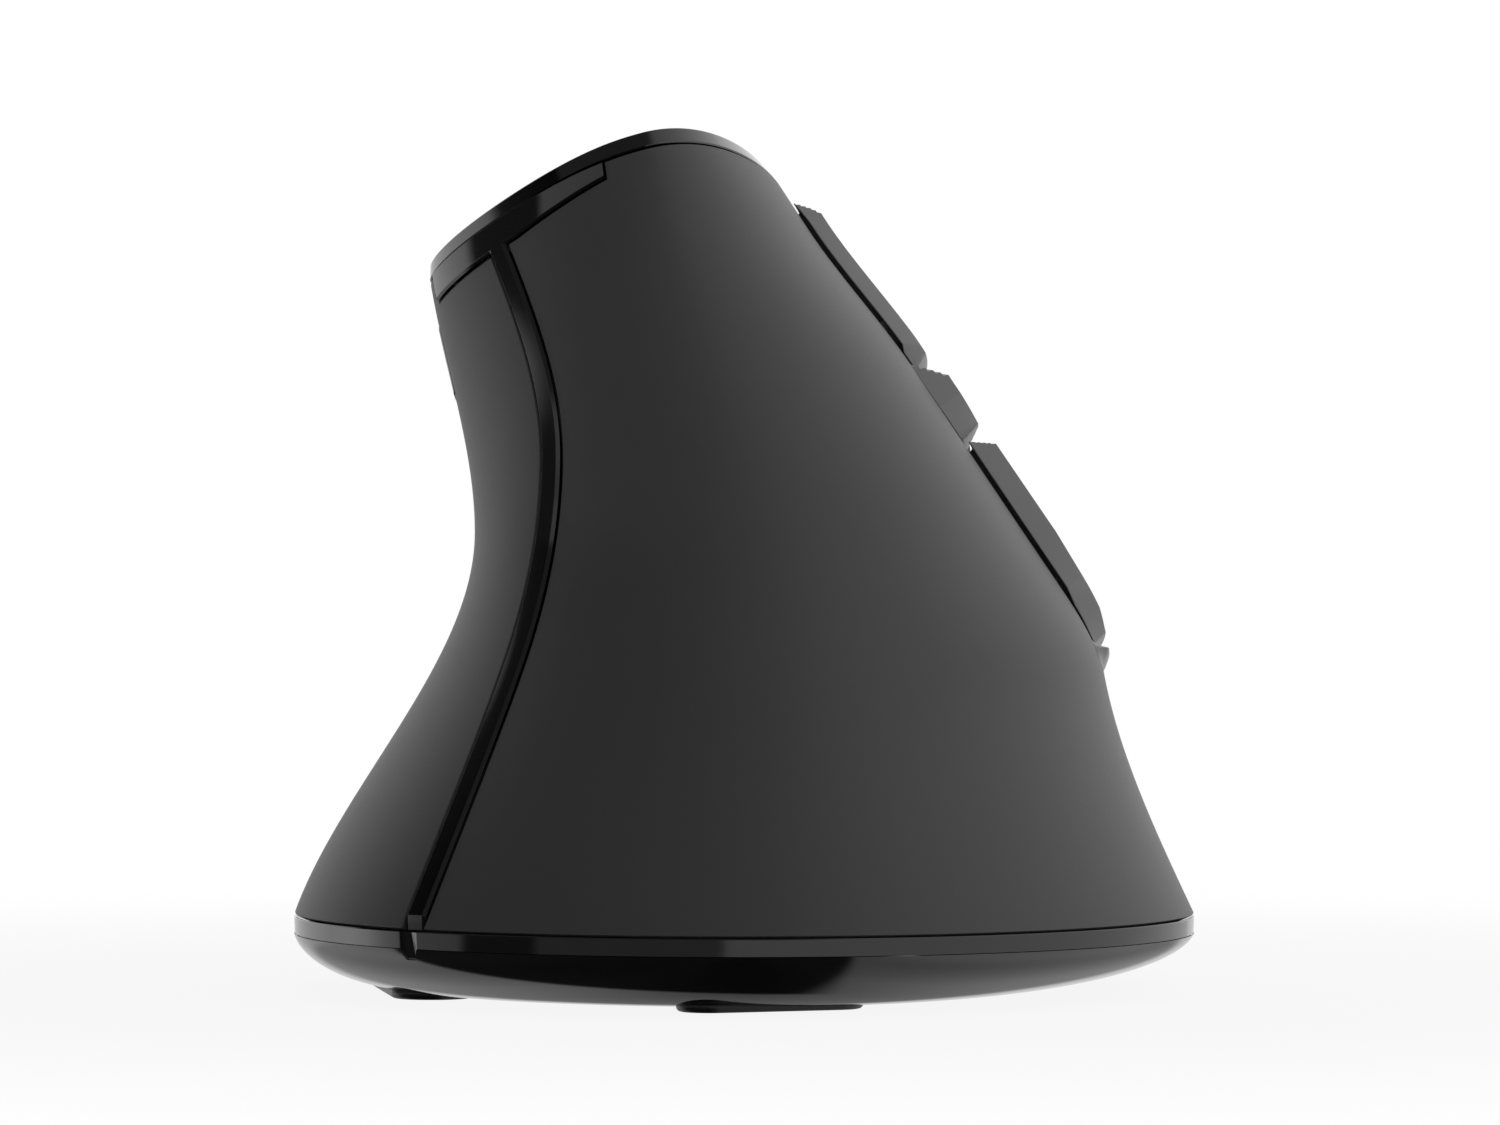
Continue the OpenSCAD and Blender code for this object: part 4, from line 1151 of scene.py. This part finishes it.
@dataclass(frozen=True)
class FingerFace:
    """Glossy frame in the button window, the ledge, the click buttons and the small button."""

    frame_wall: float = 1.6
    frame_edge: float = 0.2
    frame_low: float = CUT.lower_low + CUT.run + 0.1
    frame_sink: tuple[float, float] = (0.2, 1.3)
    small_top: float = CUT.upper_low + 0.8
    hinge_slot: tuple[float, float] = (1.965, 2.05)
    stem_slot: tuple[float, float] = (2.41, 2.54)
    lower_slot: tuple[float, float] = (27.5, 37.7)
    upper_slot: tuple[float, float] = (54.0, 64.0)
    key_edge: float = 0.15
    key_sharp: float = 16.0
    ledge_edge: float = 0.1
    ledge_rise: float = 1.05
    ledge_levels: tuple[float, float, float] = (19.35, 20.85, 21.65)
    ledge_ends: tuple[float, float] = (0.04, 0.2)
    stem_radius: float = 1.5
    rod_radius: float = 1.1
    rod_half: float = 6.5
    lug_at: float = 3.5
    lug_radius: float = 0.9
    lug_height: float = 4.9
    normal: tuple[float, float, float] = (0.766719, 0.318302, 0.557517)
    upper: KeyForm = KeyForm(
        low=CUT.upper_low + CUT.run,
        top=CUT.window_top + 0.5,
        slopes=(0.048, 0.03, 1.1, 1.3),
        foot_cut=(1.9, 0.03),
        head_cut=(1.4, 0.02),
        rim=((49.8, 0.05), (51.2, 0.08), (51.7, 0.4), (64.0, 0.4), (66.4, 0.15)),
        crest=((49.0, 1.75), (67.0, 1.75)),
        stem=(1.6, 6.8),
        head_taper=(0.9, 0.12),
    )
    lower: KeyForm = KeyForm(
        low=CUT.lower_low + CUT.run + 0.45,
        top=CUT.lower_top - CUT.run,
        slopes=(0.048, 0.03, 1.0, 1.0),
        foot_cut=(4.8, 0.07),
        head_cut=(1.2, 0.015),
        rim=((22.0, 0.05), (25.6, 0.12), (26.9, 0.4), (42.0, 0.4)),
        crest=((22.1, 1.2), (25.0, 1.95), (32.0, 2.35), (42.0, 2.3)),
        stem=(1.6, 6.3),
        dome=0.5,
    )
    small: KeyForm = KeyForm(
        low=CUT.lower_top + 0.5,
        top=CUT.upper_low + 0.6,
        front=CUT.dpi_front - CUT.turn_run,
        slopes=(0.06, 0.03, 1.05, 1.9),
        foot_cut=(2.8, 0.05),
        head_cut=(2.0, 0.0),
        rim=((42.9, 0.1), (50.1, 0.0)),
        crest=((42.9, 2.2), (50.1, 2.2)),
        stem=(0.75, 5.9),
        front_rise=2.2,
        dome=0.1,
        sole=-1.3,
        overhang=0.0,
        lip=0.0,
    )

    def build(self) -> None:
        """Builds all pieces of the finger face."""
        self.build_frame()
        self.build_ledge()
        rows = (
            ("upper_plate", "upper", self.upper, Body.UPPER_CLICK),
            ("lower_plate", "lower", self.lower, Body.LOWER_CLICK),
            ("small_key", "dpi", self.small, Body.DPI_KEY),
        )
        up = Vector(self.normal) * MM
        for name, place, form, body in rows:
            bm = form.mesh()
            start, end = (middle(f"{place}_plunger") + reach * up for reach in form.stem)
            post(bm, start, end, self.stem_radius)
            if body is not Body.DPI_KEY:
                self.add_hinge(bm, f"{place}_press", up)
            key = add_piece(name, bm, SATIN_GREY, body, (f"{place}_button",))
            soften(key, self.key_edge, angle=self.key_sharp)

    def add_hinge(self, bm: BMesh, name: str, up: Vector) -> None:
        """Adds a click button's hinge rod and the two lugs that hold it.

        Args:
            bm: The button's mesh.
            name: The joint that the rod turns in.
            up: One millimetre along the finger face's normal.
        """
        centre, axis = joint(name)
        run = axis.normalized() * MM
        post(bm, centre - self.rod_half * run, centre + self.rod_half * run, self.rod_radius)
        for side in (-self.lug_at, self.lug_at):
            foot = centre + side * run
            post(bm, foot, foot + self.lug_height * up, self.lug_radius, 4)

    def frame_rise(self, u: Array, a: Array, b: Array) -> Array:
        """Gives the frame's rise, which sinks further in towards the front."""
        way = (u - CUT.window_rear) / (CUT.window_front - CUT.window_rear)
        return -self.frame_sink[0] - self.frame_sink[1] * way

    def build_frame(self) -> None:
        """Builds the frame, open round the wheel, the small button, the hinges and the stems."""
        turns = (*self.hinge_slot, CUT.dpi_front + CUT.turn_run, *self.stem_slot)
        levels = (self.frame_low, *self.lower_slot, CUT.lower_top + CUT.run, self.small_top, *self.upper_slot)
        lattice = Lattice(
            CUT.turns(CUT.window_rear + CUT.turn_seam, *turns, CUT.window_front + CUT.turn_seam),
            (3, 6, 8, 22, 10, 26),
            CUT.levels(*levels, CUT.window_top - CUT.seam),
            (8, 12, 6, 9, 5, 12, 3),
            frozenset({*((column, 3) for column in range(5)), (1, 1), (1, 5), (4, 1), (4, 5)}),
        )
        bm = lattice.mesh(self.frame_rise)
        panel = add_piece("finger_panel", bm, PIANO_BLACK, Body.SHELL, ("button_frame",))
        thicken(panel, self.frame_wall)
        soften(panel, self.frame_edge)

    def build_ledge(self) -> None:
        """Builds the ridge that the ring finger rests on, which grows out of the skin at both ends."""
        rear, front = CUT.window_rear + CUT.turn_seam, CUT.window_front - CUT.turn_seam
        lattice = Lattice(
            CUT.turns(rear, rear + self.ledge_ends[0], front - self.ledge_ends[1], front),
            (6, 50, 10),
            CUT.levels(CUT.window_low + CUT.seam, *self.ledge_levels),
            (2, 6, 5),
        )

        def ridge(u: Array, a: Array, b: Array) -> Array:
            """Gives the ridge's rise."""
            ends = unit(np.minimum(a, 3 - a))
            return self.ledge_rise * ends * unit(np.minimum(b - 1, 3 - b))

        ledge = add_piece("ledge", lattice.mesh(ridge), SATIN_GREY, Body.SHELL, ("finger_ledge",))
        thicken(ledge, self.frame_wall)
        soften(ledge, self.ledge_edge, segments=2)


@dataclass(frozen=True)
class ThumbKeys:
    """Two long keys in the thumb cover's window."""

    rise: float = 0.35
    fade: float = 0.2
    depth: float = 2.0
    edge: float = 0.4
    corner: tuple[float, float] = (0.05, 0.12)
    stem_start: float = 0.75
    stem_ends: tuple[float, float] = (4.0, 6.6)
    stem_radius: float = 1.5

    def key_rise(self, u: Array, a: Array, b: Array) -> Array:
        """Gives the keys' rise, which fades out towards the heel."""
        return self.rise * unit((CUT.thumb_rear - u) / self.fade)

    def build(self) -> None:
        """Builds both keys."""
        keys = (
            ("forward", CUT.thumb_front + CUT.turn_run, CUT.thumb_split, Body.FORWARD_KEY),
            ("back", CUT.thumb_split, CUT.thumb_rear, Body.BACK_KEY),
        )
        rows = CUT.levels(CUT.thumb_low + CUT.run, CUT.thumb_top - CUT.run)
        for (name, start, end, body), reach in zip(keys, self.stem_ends):
            columns = CUT.turns(start + CUT.turn_run, end - CUT.turn_run)
            bm = Lattice(columns, (28,), rows, (16,), corner=self.corner).mesh(self.key_rise)
            bmesh.ops.solidify(bm, geom=list(bm.faces), thickness=-self.depth * MM)
            spot = middle(f"{name}_plunger")
            out = Vector((-MM, 0.0, 0.0))
            post(bm, spot + self.stem_start * out, spot + reach * out, self.stem_radius)
            bmesh.ops.recalc_face_normals(bm, faces=bm.faces)
            key = add_piece(f"{name}_key", bm, SATIN_GREY, body, (f"{name}_button",))
            soften(key, self.edge, segments=4)


@dataclass(frozen=True)
class ScrollWheel:
    """Ribbed tyre of the scroll wheel."""

    radius: float = 9.5
    width: float = 6.0
    depth: float = 1.8
    crown: float = 1.4
    wall: float = 0.3
    profile_points: int = 15
    rib_depth: float = 0.45
    ribs: int = 30
    steps_per_rib: int = 8

    def build(self) -> None:
        """Builds the tyre from a spun profile, with cross ribs pressed into its tread."""
        half = self.width / 2
        bm = bmesh.new()
        across = np.linspace(-1, 1, self.profile_points)
        tread = [(self.radius - self.crown * abs(t) ** 3, t * half) for t in across]
        inner = self.radius - self.depth
        outline = [(inner, -half), *tread, (inner, half)]
        verts = [bm.verts.new((r * MM, 0.0, z * MM)) for r, z in outline]
        edges = [bm.edges.new(pair) for pair in zip(verts, verts[1:] + verts[:1])]
        bmesh.ops.spin(
            bm,
            geom=verts + edges,
            cent=(0, 0, 0),
            axis=(0, 0, 1),
            angle=2 * math.pi,
            steps=self.ribs * self.steps_per_rib,
            use_merge=True,
        )
        bmesh.ops.remove_doubles(bm, verts=bm.verts, dist=SAME_SPOT)
        bmesh.ops.recalc_face_normals(bm, faces=bm.faces)
        for vert in bm.verts:
            reach = math.hypot(vert.co.x, vert.co.y)
            tread_share = max(0.0, (reach / MM - inner - self.wall) / (self.depth - self.wall))
            wave = 0.5 - 0.5 * math.cos(self.ribs * math.atan2(vert.co.y, vert.co.x))
            sink = self.rib_depth * MM * tread_share * wave**2
            vert.co.x *= 1 - sink / reach
            vert.co.y *= 1 - sink / reach
        centre, axis = joint("wheel_spin")
        upright = Vector((0, 0, 1)).rotation_difference(axis).to_matrix().to_4x4()
        bmesh.ops.transform(bm, matrix=Matrix.Translation(centre) @ upright, verts=bm.verts)
        add_piece("ribbed_tyre", bm, WHEEL_RUBBER, Body.WHEEL, ("wheel_tyre",))


@dataclass(frozen=True)
class Internals:
    """CAD nodes that stay as they are and get their finishes."""

    def dress(self) -> None:
        """Gives each node the finish of its material slot."""
        by_slot = {finish.slot: finish for finish in FINISHES}
        slots = {row["node"]: row["material_slot"] for row in frame["record"]["subparts"]}
        for name, node in frame["nodes"].items():
            node.data.materials.clear()
            node.data.materials.append(by_slot[slots[name]].material())
            LOG.info("%s takes %s", name, slots[name])


# Studio


@dataclass(frozen=True)
class Studio:
    """Camera at the photograph's place, pale floor, and a soft studio all round.

    Yaw runs from 0 towards the camera to 180 behind the object, positive on the finger side.
    """

    eye: tuple[float, float, float] = (0.5, -613.0, 36.9)
    lens: float = 168.0
    sensor: float = 36.0
    clip: float = 0.01
    floor_half: float = 3.0
    floor_shade: float = 0.82
    floor_white: float = 0.9
    floor_fade: tuple[float, float] = (0.06, 0.2)
    dim: float = 0.25
    lit_behind: tuple[float, float] = (0.1, 0.6)
    lit_beside: tuple[float, float] = (0.1, 0.5)
    lit_level: tuple[float, float] = (0.14, 0.24)
    ground: float = 0.2
    ground_steps: tuple[tuple[float, float, float], ...] = ((0.0, 0.2, 0.25), (0.4, 0.8, 0.3))
    ground_from: tuple[float, float] = (0.2, 0.3)
    patch_right: tuple[float, float] = (-0.26, 0.28)
    patch_far: tuple[float, float] = (0.5, 0.76)
    patch_soft: float = 0.05
    dark_share: float = 0.95
    backdrop_yaw: tuple[float, float] = (150.0, 175.0)
    backdrop_low: tuple[float, float] = (0.0, 0.06)
    low_from: tuple[float, float] = (-0.055, -0.02)
    panels: Knots = (
        (-180.0, 1.0), (-145.0, 0.9), (-123.0, 0.6), (-120.0, 0.04), (-98.0, 0.04), (-96.0, 0.42),
        (-55.0, 0.4), (-30.0, 0.4), (-5.0, 0.45), (10.0, 0.55), (25.0, 0.75), (45.0, 1.05),
        (125.0, 1.1), (150.0, 0.95), (180.0, 1.0),
    )
    low_panels: Knots = (
        (-180.0, 0.75), (-149.0, 0.75), (-132.0, 0.85), (-121.0, 1.1), (-114.0, 1.05), (-107.0, 0.7),
        (-97.0, 0.4), (-80.0, 0.34), (-77.0, 0.04), (-57.0, 0.04), (-55.0, 0.16), (-6.0, 0.16),
        (-4.0, 0.5), (9.0, 0.5), (11.0, 0.36), (48.0, 0.36), (51.0, 0.68), (86.0, 0.9),
        (105.0, 1.1), (140.0, 1.1), (158.0, 0.75), (180.0, 0.75),
    )

    def build(self) -> None:
        """Sets the camera, the floor and the surroundings."""
        scene = bpy.context.scene
        scene.view_settings.view_transform = "Standard"
        camera = bpy.data.objects.new("camera", bpy.data.cameras.new("camera"))
        camera.data.lens = self.lens
        camera.data.sensor_width = self.sensor
        camera.data.clip_start = self.clip
        camera.location = Vector(self.eye) * MM
        camera.rotation_euler = (math.pi / 2, 0.0, 0.0)
        scene.collection.objects.link(camera)
        scene.camera = camera
        self.build_floor()
        self.build_surroundings(scene)

    def build_floor(self) -> None:
        """Lays a pale floor that stays white from above, keeps a soft shadow and is clear from below."""
        bm = bmesh.new()
        bmesh.ops.create_grid(bm, x_segments=1, y_segments=1, size=self.floor_half)
        mesh = bpy.data.meshes.new("floor")
        bm.to_mesh(mesh)
        bm.free()
        floor = bpy.data.objects.new("floor", mesh)
        bpy.context.scene.collection.objects.link(floor)
        made = bpy.data.materials.new("pale_floor")
        made.use_nodes = True
        made.node_tree.nodes.clear()
        wiring = Wiring(made.node_tree)
        path = wiring.add("LightPath").outputs
        reach = wiring.add("VectorMath", {0: wiring.add("TexCoord").outputs["Object"]}, operation="LENGTH")
        white = wiring.smooth(reach.outputs["Value"], *self.floor_fade, self.floor_white)
        share = wiring.calc("MULTIPLY", path["Is Camera Ray"], white)
        below = wiring.add("NewGeometry").outputs["Backfacing"]
        unseen = wiring.calc("MAXIMUM", path["Is Glossy Ray"], below)
        paint = wiring.add("BsdfDiffuse", {"Color": (*(self.floor_shade,) * 3, 1.0)}).outputs["BSDF"]
        glow = wiring.add("Emission", {"Strength": 1.0}).outputs["Emission"]
        clear = wiring.add("BsdfTransparent").outputs["BSDF"]
        mix = wiring.add("MixShader", {"Fac": share, 1: paint, 2: glow}).outputs["Shader"]
        mix = wiring.add("MixShader", {"Fac": unseen, 1: mix, 2: clear}).outputs["Shader"]
        wiring.add("OutputMaterial", {"Surface": mix})
        mesh.materials.append(made)

    def build_surroundings(self, scene: bpy.types.Scene) -> None:
        """Paints the studio's panels round the object, white to the camera's own rays.

        Args:
            scene: The scene whose world is set.
        """
        world = bpy.data.worlds.new("studio")
        scene.world = world
        world.use_nodes = True
        world.node_tree.nodes.clear()
        wiring = Wiring(world.node_tree)
        calc, smooth = wiring.calc, wiring.smooth
        ray = wiring.add("SeparateXYZ", {"Vector": wiring.add("TexCoord").outputs["Generated"]})
        x, y, z = ray.outputs
        yaw = calc("ARCTAN2", x, calc("MULTIPLY", y, -1.0))
        turn = calc("MULTIPLY_ADD", yaw, 0.5 / math.pi, 0.5)
        rows = []
        for panels in (self.panels, self.low_panels):
            ramp = wiring.add("ValToRGB", {"Fac": turn})
            stops = ramp.color_ramp.elements
            for k, (angle, value) in enumerate(panels):
                stop = stops[0] if k == 0 else stops[-1] if k == len(panels) - 1 else stops.new(0.5)
                stop.position = angle / 360 + 0.5
                stop.color = (value, value, value, 1.0)
            rows.append(ramp.outputs["Color"])
        panel = calc("MULTIPLY_ADD", calc("SUBTRACT", *rows), smooth(z, *self.low_from), rows[1])
        lit = calc("MAXIMUM", smooth(y, *self.lit_behind), smooth(x, *self.lit_beside))
        lit = calc("MAXIMUM", lit, calc("SUBTRACT", 1.0, smooth(calc("ABSOLUTE", z), *self.lit_level)))
        around = calc("MULTIPLY", panel, calc("MULTIPLY_ADD", lit, 1 - self.dim, self.dim))
        depth, aside = calc("MULTIPLY", z, -1.0), calc("ABSOLUTE", x)
        ground = self.ground
        for start, end, gain in self.ground_steps:
            ground = calc("MULTIPLY_ADD", smooth(aside, start, end), gain, ground)
        edges = ((y, self.patch_right, x), (x, self.patch_far, y))
        gaps = [calc("SUBTRACT", calc("MULTIPLY_ADD", run, *line), side) for run, line, side in edges]
        patch = calc("MINIMUM", *(smooth(gap, 0.0, self.patch_soft) for gap in gaps))
        ground = calc("MULTIPLY", ground, calc("MULTIPLY_ADD", patch, -self.dark_share, 1.0))
        step = calc("SUBTRACT", ground, around)
        glow = calc("MULTIPLY_ADD", step, smooth(depth, *self.ground_from), around)
        path = wiring.add("LightPath").outputs
        through = calc("MAXIMUM", path["Is Glossy Ray"], path["Is Transmission Ray"])
        far = calc("MULTIPLY", through, smooth(calc("ABSOLUTE", yaw), *map(math.radians, self.backdrop_yaw)))
        backdrop = calc("MULTIPLY", far, calc("SUBTRACT", 1.0, smooth(depth, *self.backdrop_low)))
        strength = calc("MAXIMUM", glow, calc("MAXIMUM", path["Is Camera Ray"], backdrop))
        background = wiring.add("Background", {"Color": (1.0, 1.0, 1.0, 1.0), "Strength": strength})
        wiring.add("OutputWorld", {"Surface": background.outputs["Background"]})


def main() -> None:
    """Builds the mouse and its studio."""
    logging.basicConfig(level=logging.INFO, format="%(name)s: %(message)s")
    Studio().build()
    for assembly in (Covers(), Trim(), Skirt(), FingerFace(), ThumbKeys(), ScrollWheel()):
        assembly.build()
        LOG.info("%s built", type(assembly).__name__)
    Internals().dress()


if __name__ == "__main__":
    main()
